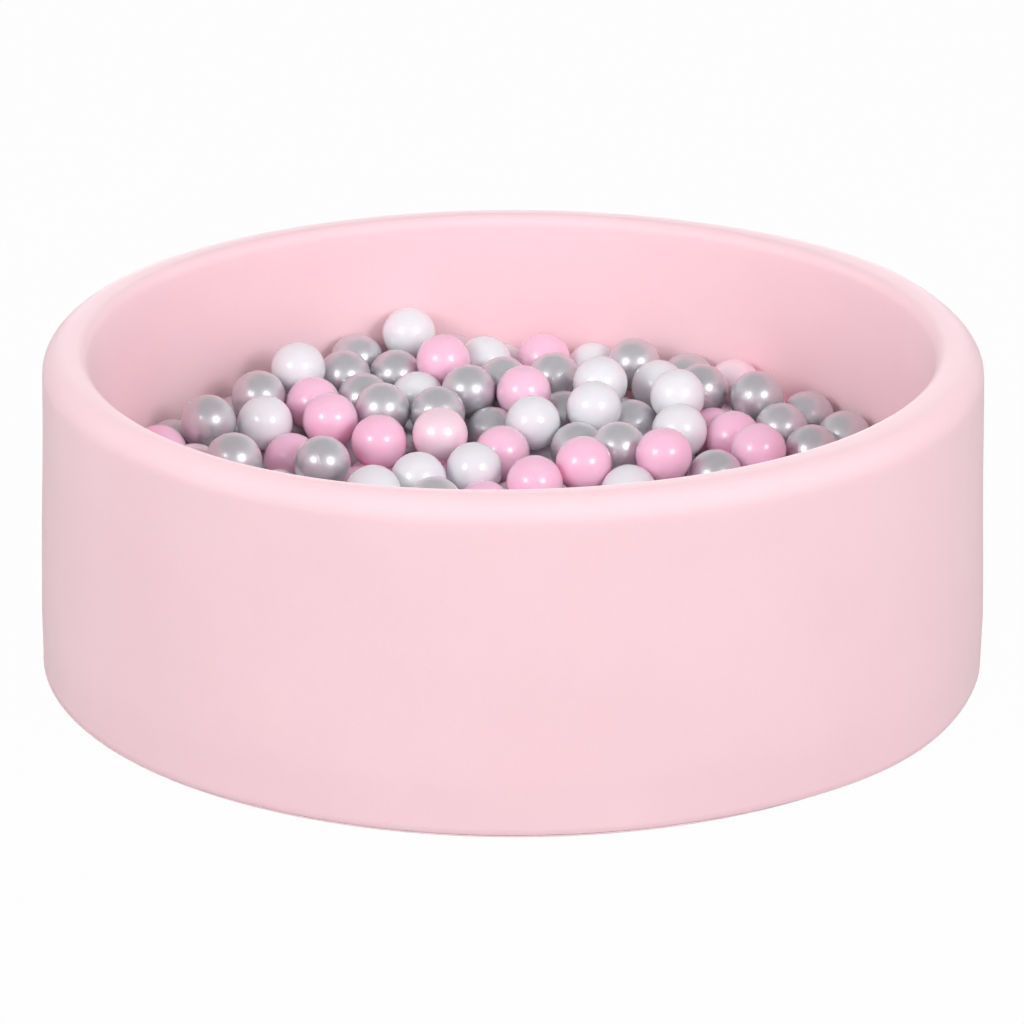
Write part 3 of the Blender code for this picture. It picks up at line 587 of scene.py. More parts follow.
share = add(ground, "ShaderNodeMath", {0: rays.outputs[0], 1: PAPER_SHARE}, operation="MULTIPLY")
mixed = add(ground, "ShaderNodeMixShader", {0: share.outputs[0], 1: matt.outputs[0], 2: paper.outputs[0]})
add(ground, "ShaderNodeOutputMaterial", {"Surface": mixed.outputs[0]})
floor_mesh.materials.append(white_floor)
print("floor of", 2 * FLOOR_HALF_SIDE, "m")

# %% [markdown]
# Most pieces of the pit are turned: one outline swept round the upright axis. A lathe could be a Screw
# modifier, but here the outline changes a little on its way round, because real foam is never quite
# true, so the points are laid out as a grid of rows and columns in Python. Each point also keeps its
# place on the cloth, in metres, for the weave.


# %% Outlines
def smoothstep(low, high, value):
    """0 at low and 1 at high, with a soft start and end."""
    t = min(1.0, max(0.0, (value - low) / (high - low)))
    return t * t * (3.0 - 2.0 * t)


def arc(middle, radius, from_deg, to_deg, steps):
    """Points of an arc in the half plane of radius and height."""
    angles = [math.radians(from_deg + (to_deg - from_deg) * i / steps) for i in range(steps + 1)]
    return [(middle[0] + radius * math.cos(a), middle[1] + radius * math.sin(a)) for a in angles]


def even(start, end, steps):
    """Steps from start to end, without the two ends."""
    return [tuple(s + (e - s) * i / steps for s, e in zip(start, end)) for i in range(1, steps)]


quarter = arc((0.0, 0.0), 1.0, 0.0, 90.0, 2)
print("a quarter circle in two steps:", [(round(r, 3), round(z, 3)) for r, z in quarter])


# %% Turned pieces
def turned_grid(name, outline, columns, material, shape=None, skip=None, closed=False, arc_deg=(0.0, 360.0)):
    """The outline turned about the upright axis. shape moves a point, and skip leaves a face out."""
    whole = abs(arc_deg[1] - arc_deg[0]) >= 360.0
    count = columns if whole else columns + 1
    along = [0.0]
    for a, b in zip(outline, outline[1:]):
        along.append(along[-1] + math.dist(a, b))
    points, cloth = [], []
    for j in range(count):
        deg = arc_deg[0] + (arc_deg[1] - arc_deg[0]) * j / columns
        turn = math.radians(deg)
        for (r, z), s in zip(outline, along):
            if shape:
                r, z = shape(r, z, deg)
            points.append((r * math.cos(turn), r * math.sin(turn), z))
            cloth.append((turn * OUTER_RADIUS, s, 0.0))
    rows = len(outline)
    faces = []
    for j in range(columns):
        k = (j + 1) % count
        for i in range(rows if closed else rows - 1):
            h = (i + 1) % rows
            if skip and skip(j, i):
                continue
            faces.append((j * rows + i, k * rows + i, k * rows + h, j * rows + h))
    mesh = bpy.data.meshes.new(name)
    mesh.from_pydata(points, [], faces)
    on_cloth = mesh.attributes.new("cloth", "FLOAT_VECTOR", "POINT")
    on_cloth.data.foreach_set("vector", np.array(cloth, "f").ravel())
    loose = bmesh.new()
    loose.from_mesh(mesh)
    bmesh.ops.delete(loose, geom=[v for v in loose.verts if not v.link_faces], context="VERTS")
    if closed and not whole:
        bmesh.ops.holes_fill(loose, edges=[e for e in loose.edges if e.is_boundary])
    bmesh.ops.recalc_face_normals(loose, faces=loose.faces)
    loose.to_mesh(mesh)
    loose.free()
    mesh.shade_smooth()
    mesh.materials.append(material)
    made = bpy.data.objects.new(name, mesh)
    bpy.context.scene.collection.objects.link(made)
    return made


# %% [markdown]
# Two steps end every piece. Its modifiers are turned into plain mesh, which is what gets kept. Then the
# pieces of the imported model that it stands for are hidden, and it is hung on the body that carries it.


# %% Finishing a piece
def plain(ob):
    """Turns the object's modifiers into plain mesh."""
    bpy.context.view_layer.update()
    done = bpy.data.meshes.new_from_object(ob.evaluated_get(bpy.context.evaluated_depsgraph_get()))
    ob.modifiers.clear()
    ob.data = done
    return ob


def fitted(ob, body, nodes):
    """Puts a finished piece on its body in place of the nodes that it stands for."""
    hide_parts(*nodes)
    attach(ob, body)
    return ob


# %% [markdown]
# Soft foam is never truly round: the opening runs wide and the rim sags a little at the front on the
# left, and the right side bulges at two places. One function moves any point of the wall by that give.
# The cover and the foam under it both use it, so they stay together.

# %% How the wall gives
WIDE_AT_DEG, WIDE_SPREAD_DEG, WIDE_BY, SAG_BY = 236.0, 38.0, 0.012, 0.004
BULGES_AT_DEG, BULGE_SPREAD_DEG, BULGE_BY = (38.0, 320.0), 17.0, 0.005
WAVE_BY, RIPPLE_BY, RIM_WAVE_BY = 0.0005, 0.0003, 0.0008
# Up to the first of these radii a point lies on the inner side, and past the second on the outer side.
INNER_SIDE, OUTER_SIDE = 0.400, 0.430


def hump(deg, middle, spread):
    """1 at the middle angle, and fading to 0 over the spread on both sides."""
    off = (deg - middle + 180.0) % 360.0 - 180.0
    return math.exp(-((off / spread) ** 2))


def soft_wall(r, z, deg):
    """The wall's real shape: a touch uneven, wide and low at the front left, and fuller on the right."""
    turn = math.radians(deg)
    wide = hump(deg, WIDE_AT_DEG, WIDE_SPREAD_DEG)
    r += WIDE_BY * wide * smoothstep(OUTER_SIDE, INNER_SIDE, r) * smoothstep(0.06, 0.26, z)
    z -= SAG_BY * wide * smoothstep(0.15, 0.30, z)
    fuller = hump(deg, BULGES_AT_DEG[0], BULGE_SPREAD_DEG) * smoothstep(0.05, 0.15, z)
    fuller += hump(deg, BULGES_AT_DEG[1], BULGE_SPREAD_DEG)
    r += BULGE_BY * fuller * smoothstep(INNER_SIDE, OUTER_SIDE, r)
    wave = WAVE_BY * math.sin(3 * turn + 1.1) * math.sin(9 * z + 2 * turn)
    r += wave + RIPPLE_BY * math.sin(7 * turn + 31 * z)
    z += RIM_WAVE_BY * math.sin(2 * turn + 0.6) * smoothstep(0.24, 0.30, z)
    return r, z


print("at its widest the opening gives by", WIDE_BY * 1000, "mm, at", WIDE_AT_DEG, "degrees")

# %% [markdown]
# The sleeve of the cover goes up the outside, over the rim and down the inside in one piece. It is turned
# in 360 columns, one to a degree, so that the slot for the zip at the back starts and ends on the edge of
# one. The two edges of the slot are folded under and stitched, so the cloth lies double there and
# stands slightly proud. Solidify then gives the cloth its thickness.

# %% Cover sleeve
SLEEVE_COLUMNS = 360
ZIP_HEIGHT = 0.030
ZIP_ARC_DEG = (20, 160)
ZIP_SLOT_HALF = 0.0087
FOLD_WIDTH = 0.0065
FOLD_RISE = 0.0014
FOLD_END_DEG = 1.5
OUTSIDE_FROM = 0.44


def hemmed(r, z, deg):
    """The soft wall with the cloth folded double along the slot of the zip."""
    r, z = soft_wall(r, z, deg)
    if r > OUTSIDE_FROM:
        from_edge = abs(z - ZIP_HEIGHT) - ZIP_SLOT_HALF
        start, end = ZIP_ARC_DEG
        ends = smoothstep(start - FOLD_END_DEG, start, deg) * smoothstep(end + FOLD_END_DEG, end, deg)
        rise = FOLD_RISE * ends * smoothstep(FOLD_WIDTH + 0.001, FOLD_WIDTH, from_edge)
        r += rise * smoothstep(-0.001, 0.0008, from_edge)
    return r, z


outer_top = (RIM_RADIUS - RIM_OUTER_ROUND, HEIGHT - RIM_OUTER_ROUND)
inner_top = (INNER_RADIUS + RIM_INNER_ROUND, HEIGHT - RIM_INNER_ROUND)
low_edge, high_edge = ZIP_HEIGHT - ZIP_SLOT_HALF, ZIP_HEIGHT + ZIP_SLOT_HALF
hem_rows = (0.0, 0.0008, 0.0035, FOLD_WIDTH, FOLD_WIDTH + 0.001)
upward = [
    (OUTER_RADIUS - 0.0010, FOAM_BOTTOM),
    (OUTER_RADIUS - 0.0003, FOAM_BOTTOM + 0.0002),
    (OUTER_RADIUS, FOAM_BOTTOM + 0.0008),
    (OUTER_RADIUS, 0.008),
]
upward += [(OUTER_RADIUS, low_edge - row) for row in reversed(hem_rows)]
slot_row = len(upward) - 1
upward += [(OUTER_RADIUS, high_edge + row) for row in hem_rows]
upward.append((OUTER_RADIUS, LEAN_START))
upward += even(upward[-1], (RIM_RADIUS, outer_top[1]), 20)
upward += arc(outer_top, RIM_OUTER_ROUND, 0.0, 90.0, 12)
upward += even(upward[-1], (inner_top[0], HEIGHT), 3)
upward += arc(inner_top, RIM_INNER_ROUND, 90.0, 180.0, 10)
upward += even(upward[-1], (INNER_RADIUS, FLOOR_BOTTOM), 20)
upward.append((INNER_RADIUS, FLOOR_BOTTOM))

sleeve = turned_grid(
    "cover_sleeve_jersey",
    upward,
    SLEEVE_COLUMNS,
    pink_jersey,
    shape=hemmed,
    skip=lambda j, i: i == slot_row and ZIP_ARC_DEG[0] <= j < ZIP_ARC_DEG[1],
)
thick = sleeve.modifiers.new("cloth", "SOLIDIFY")
thick.thickness = CLOTH
thick.offset = -1.0
plain(sleeve)
fitted(sleeve, "pit", ["cover_sleeve"])
print("sleeve:", len(sleeve.data.polygons), "faces")

# %% [markdown]
# Inside the cover lies the foam ring. Nobody sees it unless the zip is open, so it is turned with fewer
# columns. It is a straight strip, bent round and glued end to end: the glued joint is a shallow groove
# on both faces. Under the zip the foam gives way a little.

# %% Foam ring
RING_COLUMNS = 240
FOOT = 0.002
GLUED_AT_DEG, GLUED_HALF_DEG, GLUED_GROOVE = 95.0, 0.7, 0.0012
MIDDLE_OF_WALL = 0.42
ZIP_DIP = 0.0022


def bent_strip(r, z, deg):
    """The soft wall with the groove of the glued joint and the dip behind the zip."""
    r, z = soft_wall(r, z, deg)
    joint = math.exp(-(((deg - GLUED_AT_DEG) / GLUED_HALF_DEG) ** 2))
    r += GLUED_GROOVE * joint * (-1.0 if r > MIDDLE_OF_WALL else 1.0)
    if r > OUTSIDE_FROM and ZIP_ARC_DEG[0] < deg < ZIP_ARC_DEG[1]:
        r -= ZIP_DIP * smoothstep(0.0075, 0.0045, abs(z - ZIP_HEIGHT))
    return r, z


outer_round, inner_round = RIM_OUTER_ROUND - CLOTH - GAP, RIM_INNER_ROUND - CLOTH - GAP
foam_top = HEIGHT - CLOTH - GAP
ring_outline = [(FOAM_OUTER - FOOT, FOAM_BOTTOM), (FOAM_OUTER, FOAM_BOTTOM + FOOT)]
ring_outline += even(ring_outline[-1], (FOAM_OUTER, LEAN_START), 16)
ring_outline.append((FOAM_OUTER, LEAN_START))
ring_outline.append((FOAM_OUTER - WALL_LEAN / 2, (LEAN_START + foam_top - outer_round) / 2))
ring_outline += arc((FOAM_OUTER - WALL_LEAN - outer_round, foam_top - outer_round), outer_round, 0.0, 90.0, 6)
ring_outline += arc((FOAM_INNER + inner_round, foam_top - inner_round), inner_round, 90.0, 180.0, 5)
ring_outline += even(ring_outline[-1], (FOAM_INNER, FOAM_BOTTOM), 5)
ring_outline += [(FOAM_INNER, FOAM_BOTTOM + FOOT), (FOAM_INNER + FOOT, FOAM_BOTTOM)]
ring = turned_grid("foam_ring", ring_outline, RING_COLUMNS, white_foam, shape=bent_strip, closed=True)
fitted(ring, "pit", ["foam_wall"])
print("foam ring:", len(ring.data.polygons), "faces")

# %% [markdown]
# The mat and the two panels of the cover are flat and round. Each is turned as well: along its underside,
# round its edge and back over the top. That leaves a small hole above and below in the middle, which is
# closed at the end.

# %% Foam mat and round panels
ROUND_COLUMNS, ROUND_ROWS = 120, 8
MAT_EDGE = 0.003
PANEL_EDGE = 0.0005


def round_sheet(name, radius, low, high, edge, material):
    """A round slab with a rounded edge and a closed middle."""
    outline = [(radius * k / ROUND_ROWS, low) for k in range(1, ROUND_ROWS)]
    outline += arc((radius - edge, low + edge), edge, -90.0, 0.0, 3)
    outline += arc((radius - edge, high - edge), edge, 0.0, 90.0, 3)
    outline += [(radius * k / ROUND_ROWS, high) for k in range(ROUND_ROWS - 1, 0, -1)]
    made = turned_grid(name, outline, ROUND_COLUMNS, material)
    bm = bmesh.new()
    bm.from_mesh(made.data)
    bmesh.ops.holes_fill(bm, edges=[e for e in bm.edges if e.is_boundary])
    bmesh.ops.recalc_face_normals(bm, faces=bm.faces)
    bm.to_mesh(made.data)
    bm.free()
    return made


mat_top = FOAM_BOTTOM + FOAM_MAT
mat = round_sheet("foam_mat_slab", FOAM_INNER - GAP, FOAM_BOTTOM, mat_top, MAT_EDGE, white_foam)
fitted(mat, "pit", ["foam_mat"])

panel_radius = INNER_RADIUS - GAP
inner_panel = round_sheet(
    "cover_floor_jersey", panel_radius, FLOOR_BOTTOM, FLOOR_TOP, PANEL_EDGE, pink_jersey
)
fitted(inner_panel, "pit", ["cover_floor"])
base_panel = round_sheet("cover_base_lining", OUTER_RADIUS, 0.0, CLOTH, PANEL_EDGE, base_lining)
fitted(base_panel, "pit", ["cover_base"])
for made in (mat, inner_panel, base_panel):
    print(made.name, len(made.data.polygons), "faces")

# %% [markdown]
# The sleeve is cut as a strip as long as the pit is round, and as wide as the way up, over and down. The two
# panels are discs cut from squares.

# %% [markdown]
# The zip has a coil on each side, one small loop of nylon after another, and the folded cloth beside it
# is held by a row of stitches. Both are the same idea: one small shape repeated along a curve, which
# Geometry Nodes do well. The tree takes the curve, the spacing, and the shape's length and thickness.


# %% A shape repeated along a curve
def along_curve_tree():
    """A node tree that puts one long bead after another along a line."""
    tree = bpy.data.node_groups.new("shape along a curve", "GeometryNodeTree")
    tree.interface.new_socket("Geometry", in_out="INPUT", socket_type="NodeSocketGeometry")
    for name, value in (("Spacing", 0.004), ("Length", 0.003), ("Thickness", 0.0006), ("Turn", 0.0)):
        tree.interface.new_socket(name, in_out="INPUT", socket_type="NodeSocketFloat").default_value = value
    tree.interface.new_socket("Material", in_out="INPUT", socket_type="NodeSocketMaterial")
    tree.interface.new_socket("Geometry", in_out="OUTPUT", socket_type="NodeSocketGeometry")
    given = add(tree, "NodeGroupInput")
    half = add(tree, "ShaderNodeMath", {0: given.outputs["Length"], 1: 0.5}, operation="MULTIPLY")
    thin = add(tree, "ShaderNodeMath", {0: given.outputs["Thickness"], 1: 0.5}, operation="MULTIPLY")
    bead = add(tree, "GeometryNodeMeshUVSphere", {"Segments": 6, "Rings": 5, "Radius": 1.0})
    size = add(
        tree,
        "ShaderNodeCombineXYZ",
        {"X": thin.outputs[0], "Y": thin.outputs[0], "Z": half.outputs[0]},
    )
    grain = add(tree, "GeometryNodeTransform", {"Geometry": bead.outputs["Mesh"], "Scale": size.outputs[0]})
    soft = add(tree, "GeometryNodeSetShadeSmooth", {"Geometry": grain.outputs["Geometry"]})
    path = add(tree, "GeometryNodeMeshToCurve", {"Mesh": given.outputs["Geometry"]})
    spots = add(
        tree,
        "GeometryNodeCurveToPoints",
        {"Curve": path.outputs[0], "Length": given.outputs["Spacing"]},
        mode="LENGTH",
    )
    turn = add(tree, "ShaderNodeCombineXYZ", {"X": given.outputs["Turn"]})
    aligned = add(
        tree,
        "FunctionNodeRotateRotation",
        {"Rotation": spots.outputs["Rotation"], "Rotate By": turn.outputs[0]},
        rotation_space="LOCAL",
    )
    copies = add(
        tree,
        "GeometryNodeInstanceOnPoints",
        {
            "Points": spots.outputs["Points"],
            "Instance": soft.outputs["Geometry"],
            "Rotation": aligned.outputs[0],
        },
    )
    real = add(tree, "GeometryNodeRealizeInstances", {"Geometry": copies.outputs[0]})
    done = add(
        tree,
        "GeometryNodeSetMaterial",
        {"Geometry": real.outputs[0], "Material": given.outputs["Material"]},
    )
    add(tree, "NodeGroupOutput", {"Geometry": done.outputs[0]})
    return tree


def grown(name, points, tree, settings, edges=True):
    """Runs a node tree on a line of points, or on loose points, and keeps the result as plain mesh."""
    mesh = bpy.data.meshes.new(name)
    mesh.from_pydata(points, [(i, i + 1) for i in range(len(points) - 1)] if edges else [], [])
    made = bpy.data.objects.new(name, mesh)
    bpy.context.scene.collection.objects.link(made)
    modifier = made.modifiers.new("nodes", "NODES")
    modifier.node_group = tree
    names = {item.name: item.identifier for item in tree.interface.items_tree if item.in_out == "INPUT"}
    for key, value in settings.items():
        modifier[names[key]] = value
    return plain(made)


def round_line(radius, height, start_by_deg):
    """Points along the back of the pit, half a degree apart, from a little inside the zip's arc."""
    steps = 2 * (ZIP_ARC_DEG[1] - ZIP_ARC_DEG[0])
    from_deg, to_deg = ZIP_ARC_DEG[0] + start_by_deg, ZIP_ARC_DEG[1] - start_by_deg
    turns = [math.radians(from_deg + (to_deg - from_deg) * i / steps) for i in range(steps + 1)]
    return [(radius * math.cos(a), radius * math.sin(a), height) for a in turns]


repeated = along_curve_tree()
print(repeated.name, "has", len(repeated.nodes), "nodes")

# %% [markdown]
# The two halves of the zip mirror each other, so one loop makes both: a tape, its coil and the stitches
# of the fold beside it. A tape is a thin turned strip whose outer edge goes under the folded cloth. Its
# coil has a loop every 1.5 mm, turned to lie across it. The stitches are 3.1 mm long, one every 4.2 mm.

# %% Zip tapes, coils and stitches
TAPE_COLUMNS = 160
TAPE_WIDTH = 0.0105
TAPE_THICK = 0.0008
TAPE_INNER = OUTER_RADIUS - CLOTH
TAPE_OUTER = TAPE_INNER + TAPE_THICK
CHAIN_GAP = 0.0018
COIL_WIDTH = 0.0024
COIL_THICK = 0.00125
COIL_LIFT = 0.0008
TOOTH_SPACING = 0.0015
STITCH_SPACING = 0.0042
STITCH_LENGTH = 0.0031
STITCH_THICK = 0.0006
STITCH_LIFT = 0.0001
STITCH_FROM_EDGE = 0.0030
TAPE_START_DEG, COIL_START_DEG, STITCH_START_DEG = 0.1, 0.7, 0.3

for side, node in ((1, "zip_upper_half"), (-1, "zip_lower_half")):
    inner_edge = ZIP_HEIGHT + side * CHAIN_GAP / 2
    outer_edge = inner_edge + side * TAPE_WIDTH
    outline = [(TAPE_INNER, outer_edge), (TAPE_INNER, inner_edge), (TAPE_OUTER, inner_edge)]
    outline += [(TAPE_OUTER, inner_edge + side * TAPE_WIDTH / 2), (TAPE_OUTER, outer_edge)]
    span = (ZIP_ARC_DEG[0] + TAPE_START_DEG, ZIP_ARC_DEG[1] - TAPE_START_DEG)
    tape = turned_grid(node + "_tape", outline, TAPE_COLUMNS, tape_cloth, closed=True, arc_deg=span)
    fitted(tape, "pit", [node])
    line = round_line(TAPE_OUTER + COIL_LIFT, inner_edge + side * COIL_WIDTH / 2, COIL_START_DEG)
    settings = {
        "Spacing": TOOTH_SPACING,
        "Length": COIL_WIDTH,
        "Thickness": COIL_THICK,
        "Turn": math.pi / 2,
        "Material": coil_nylon,
    }
    coil = grown(node + "_coil", line, repeated, settings)
    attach(coil, "pit")
    hem = ZIP_HEIGHT + side * (ZIP_SLOT_HALF + STITCH_FROM_EDGE)
    line = round_line(OUTER_RADIUS + FOLD_RISE + STITCH_LIFT, hem, STITCH_START_DEG)
    settings = {
        "Spacing": STITCH_SPACING,
        "Length": STITCH_LENGTH,
        "Thickness": STITCH_THICK,
        "Turn": 0.0,
        "Material": seam_thread,
    }
    stitches = grown("hem_stitches_above" if side > 0 else "hem_stitches_below", line, repeated, settings)
    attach(stitches, "pit")
    print(node, len(coil.data.polygons), "faces of coil,", len(stitches.data.polygons), "faces of stitches")

# %% [markdown]
# The slider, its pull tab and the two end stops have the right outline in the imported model. Cast zinc
# has no sharp edge, so copies of them get a bevel of 0.2 to 0.3 mm wherever two faces meet at more than
# 30 degrees.

# %% Slider, tab and stops
FLAT_WITHIN_DEG = 3.0
BEVEL_FROM_DEG = 30.0
SHARP_FROM_DEG = 50.0


def eased(node, body, width):
    """A copy of one of the zip's small parts with its edges rounded off."""
    bm = bmesh.new()
    bm.from_mesh(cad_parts[node].data)
    bmesh.ops.remove_doubles(bm, verts=bm.verts, dist=0.00001)
    bmesh.ops.dissolve_limit(bm, angle_limit=math.radians(FLAT_WITHIN_DEG), verts=bm.verts, edges=bm.edges)
    mesh = bpy.data.meshes.new(node + "_eased")
    bm.to_mesh(mesh)
    bm.free()
    mesh.materials.clear()
    mesh.materials.append(slider_enamel)
    made = bpy.data.objects.new(node + "_eased", mesh)
    bpy.context.scene.collection.objects.link(made)
    bevel = made.modifiers.new("eased", "BEVEL")
    bevel.width = width
    bevel.segments = 3
    bevel.limit_method = "ANGLE"
    bevel.angle_limit = math.radians(BEVEL_FROM_DEG)
    plain(made)
    made.data.shade_smooth()
    made.data.set_sharp_from_angle(angle=math.radians(SHARP_FROM_DEG))
    print(made.name, len(made.data.polygons), "faces")
    fitted(made, body, [node])


eased("zip_slider", "slider", 0.00022)
eased("zip_pull_tab", "pull_tab", 0.00025)
eased("zip_start_stop", "pit", 0.0003)
eased("zip_end_stop", "pit", 0.0003)

# %% [markdown]
# Now the balls. The plan below lists the ones that the photograph shows: how far across and down, the
# colour, and whether each lies on top, between others, or deep in a gap. A sight line through each gives
# all but its distance, so the balls are settled: they push each other apart and off the wall, sliding
# mostly along their lines of sight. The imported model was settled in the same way, so its balls are here
# too. The rest of the top layer is a shaken close-packed pattern, and gaps are filled with lower balls.

# %% The balls in the photograph
SEEN_BALLS = (
    (411, 334, "white", "top"),
    (359, 360, "silver", "between"),
    (303, 370, "white", "top"),
    (348, 377, "silver", "top"),
    (396, 376, "silver", "between"),
    (440, 364, "pink", "top"),
    (454, 361, "silver", "deep"),
    (483, 364, "white", "between"),
    (506, 366, "white", "deep"),
    (543, 363, "pink", "between"),
    (551, 380, "silver", "between"),
    (507, 383, "silver", "between"),
    (592, 368, "white", "between"),
    (635, 365, "silver", "top"),
    (689, 379, "silver", "deep"),
    (735, 387, "blush", "between"),
    (702, 394, "silver", "between"),
    (660, 386, "white", "between"),
    (679, 396, "white", "top"),
    (599, 386, "white", "top"),
    (595, 409, "white", "top"),
    (524, 393, "pink", "top"),
    (470, 393, "silver", "top"),
    (758, 398, "silver", "top"),
    (808, 418, "silver", "between"),
    (782, 430, "silver", "between"),
    (845, 438, "silver", "between"),
    (813, 452, "silver", "between"),
    (734, 438, "pink", "between"),
    (759, 451, "pink", "top"),
    (722, 428, "silver", "deep"),
    (681, 431, "white", "top"),
    (663, 455, "pink", "top"),
    (632, 426, "silver", "between"),
    (616, 450, "silver", "between"),
    (578, 445, "silver", "between"),
    (585, 465, "pink", "top"),
    (537, 427, "white", "top"),
    (495, 431, "silver", "between"),
    (566, 412, "silver", "deep"),
    (503, 453, "pink", "between"),
    (475, 470, "white", "top"),
    (535, 484, "pink", "top"),
    (486, 507, "pink", "between"),
    (629, 492, "white", "between"),
    (717, 477, "silver", "between"),
    (437, 505, "silver", "between"),
    (374, 493, "white", "top"),
    (360, 493, "pink", "deep"),
    (419, 480, "white", "top"),
    (323, 464, "silver", "top"),
    (292, 461, "pink", "between"),
    (233, 461, "silver", "top"),
    (266, 424, "white", "top"),
    (331, 420, "pink", "top"),
    (380, 442, "pink", "top"),
    (441, 435, "blush", "top"),
    (384, 410, "silver", "top"),
    (366, 400, "silver", "between"),
    (419, 398, "white", "between"),
    (437, 414, "silver", "between"),
    (311, 403, "pink", "between"),
    (307, 394, "silver", "deep"),
    (262, 399, "silver", "between"),
    (208, 423, "silver", "between"),
    (228, 422, "silver", "deep"),
    (218, 440, "silver", "deep"),
    (178, 445, "silver", "between"),
    (163, 453, "pink", "between"),
    (195, 470, "blush", "between"),
    (262, 476, "silver", "deep"),
    (280, 496, "white", "deep"),
    (294, 427, "silver", "deep"),
    (351, 446, "white", "deep"),
    (411, 443, "silver", "deep"),
    (442, 387, "silver", "deep"),
    (445, 475, "pink", "deep"),
    (553, 468, "white", "deep"),
    (714, 433, "pink", "deep"),
)
TIER_HEIGHT_SHARES = {"top": 0.22, "between": -0.05, "deep": -0.50}
print(len(SEEN_BALLS), "balls can be told apart in the photograph")

# %% [markdown]
# The balls are 55 mm across. The middle of the heap's top layer lies 113 mm above the floor of the cover,
# and the layer rises towards the back by a tenth. From here on places are counted in ball diameters
# around that middle, which makes "too near" simply less than 1.

# %% The level of the heap
BALL_DIAMETER = 0.055
BALL_RADIUS = BALL_DIAMETER / 2
HEAP_DEPTH = 0.113
HEAP_LEVEL = FLOOR_TOP + HEAP_DEPTH
SLOPE = 0.10
print(f"middle of the heap {HEAP_LEVEL:.4f} m up")

# %% [markdown]
# Settling is a simple relaxation and not a physics simulation: it is quick, it always ends the same way,
# and it keeps each ball near the pixel where the photograph has it. One round pushes apart every two
# balls that are too near each other, by a share of what is missing, and then back inside the wall. After
# each of the first 500 rounds the balls are drawn back towards their lines of sight. The last 120 rounds
# run free.

# %% Settle the balls in view
EYE_IN_BALLS = np.array([0.0, -68.56, 25.56])
SIGHT_LENS_PIXELS = 4200.0
MIDDLE_PIXELS = (513.3, 512.0)
PUSH_SHARE = 0.7
HOME_SHARE = 0.02
HELD_ROUNDS, FREE_ROUNDS = 500, 120
CAD_SEGMENTS = 64


def sight_lines(pixels):
    """Unit directions from the photograph's eye through these pixels."""
    across = pixels[:, 0] - MIDDLE_PIXELS[0]
    down = pixels[:, 1] - MIDDLE_PIXELS[1]
    roll, tilt = math.radians(ROLL_DEG), math.radians(TILT_DEG)
    right = (across * math.cos(roll) + down * math.sin(roll)) / SIGHT_LENS_PIXELS
    up = (across * math.sin(roll) - down * math.cos(roll)) / SIGHT_LENS_PIXELS
    ahead = math.cos(tilt) + up * math.sin(tilt)
    rise = up * math.cos(tilt) - math.sin(tilt)
    lines = np.stack([right, ahead, rise], axis=1)
    return lines / np.linalg.norm(lines, axis=1)[:, None]


def pushed_apart(places, spacing, wall, held=0):
    """One round of moving balls apart and back inside the wall. As many as are held, from the first, stay."""
    between = places[:, None] - places[None]
    far = np.linalg.norm(between, axis=2) + np.eye(len(places)) * spacing * 2
    short = np.clip(spacing - far, 0.0, None) / far
    weight = np.full((len(places), len(places)), 0.5)
    weight[:, :held] = 1.0
    push = (between * (short * weight)[:, :, None]).sum(axis=1) * PUSH_SHARE
    push[:held] = 0.0
    places = places + push
    reach = np.maximum(np.hypot(places[:, 0], places[:, 1]), 1e-9)
    inward = np.minimum(1.0, wall / reach)
    places[:, :2] *= inward[:, None]
    return places


def seen_places(spacing, wall):
    """Settles the balls in view. Each moves easily along its line of sight, and little across it."""
    pixels = np.array([ball[:2] for ball in SEEN_BALLS], dtype=float)
    lift = np.array([TIER_HEIGHT_SHARES[ball[3]] for ball in SEEN_BALLS])
    lines = sight_lines(pixels)
    reach = (lift + SLOPE * EYE_IN_BALLS[1] - EYE_IN_BALLS[2]) / (lines[:, 2] - SLOPE * lines[:, 1])
    home = EYE_IN_BALLS + lines * reach[:, None]
    places = home.copy()
    for i in range(HELD_ROUNDS):
        places = pushed_apart(places, spacing, wall)
        hold = 0.5 * min(1.0, 3.0 * (1.0 - i / HELD_ROUNDS))
        along = ((places - EYE_IN_BALLS) * lines).sum(axis=1)
        along = along + HOME_SHARE * ((home - places) * lines).sum(axis=1)
        on_line = EYE_IN_BALLS + lines * along[:, None]
        places = places + (on_line - places) * hold
    for _ in range(FREE_ROUNDS):
        places = pushed_apart(places, spacing, wall)
    return places


spacing = (BALL_DIAMETER + GAP) / BALL_DIAMETER
cad_flat = math.cos(math.pi / CAD_SEGMENTS)
wall = (INNER_RADIUS * cad_flat - BALL_RADIUS - GAP) / BALL_DIAMETER
in_view = seen_places(spacing, wall)
print(f"balls {spacing:.4f} apart, in a pit {wall:.2f} to each side")

# %% [markdown]
# The other balls of the top layer start as a close-packed pattern, shaken a little. Balls that would hide
# one in view are left out. Then lower ones go into what gaps are left, the shallow gaps first, and all
# are pushed apart again. Their colours are drawn in equal parts.

# %% Fill the rest of the top layer
COLOURS = ("pink", "white", "silver")
ROW_STEP = math.sqrt(3.0) / 2.0
FILL_SEED = 7
FILL_NEAREST = 0.80
FILL_JITTER = 0.30
FILL_HEIGHTS = (-0.35, 0.30)
GAP_NEAREST = 0.94
GAP_HEIGHTS = (-0.10, -0.25, -0.40, -0.55)
GAP_STEP = 0.2
HIDING = 0.85
ROUNDS_BEFORE_GAPS, ROUNDS_AFTER_GAPS, LAST_ROUNDS = 100, 300, 150


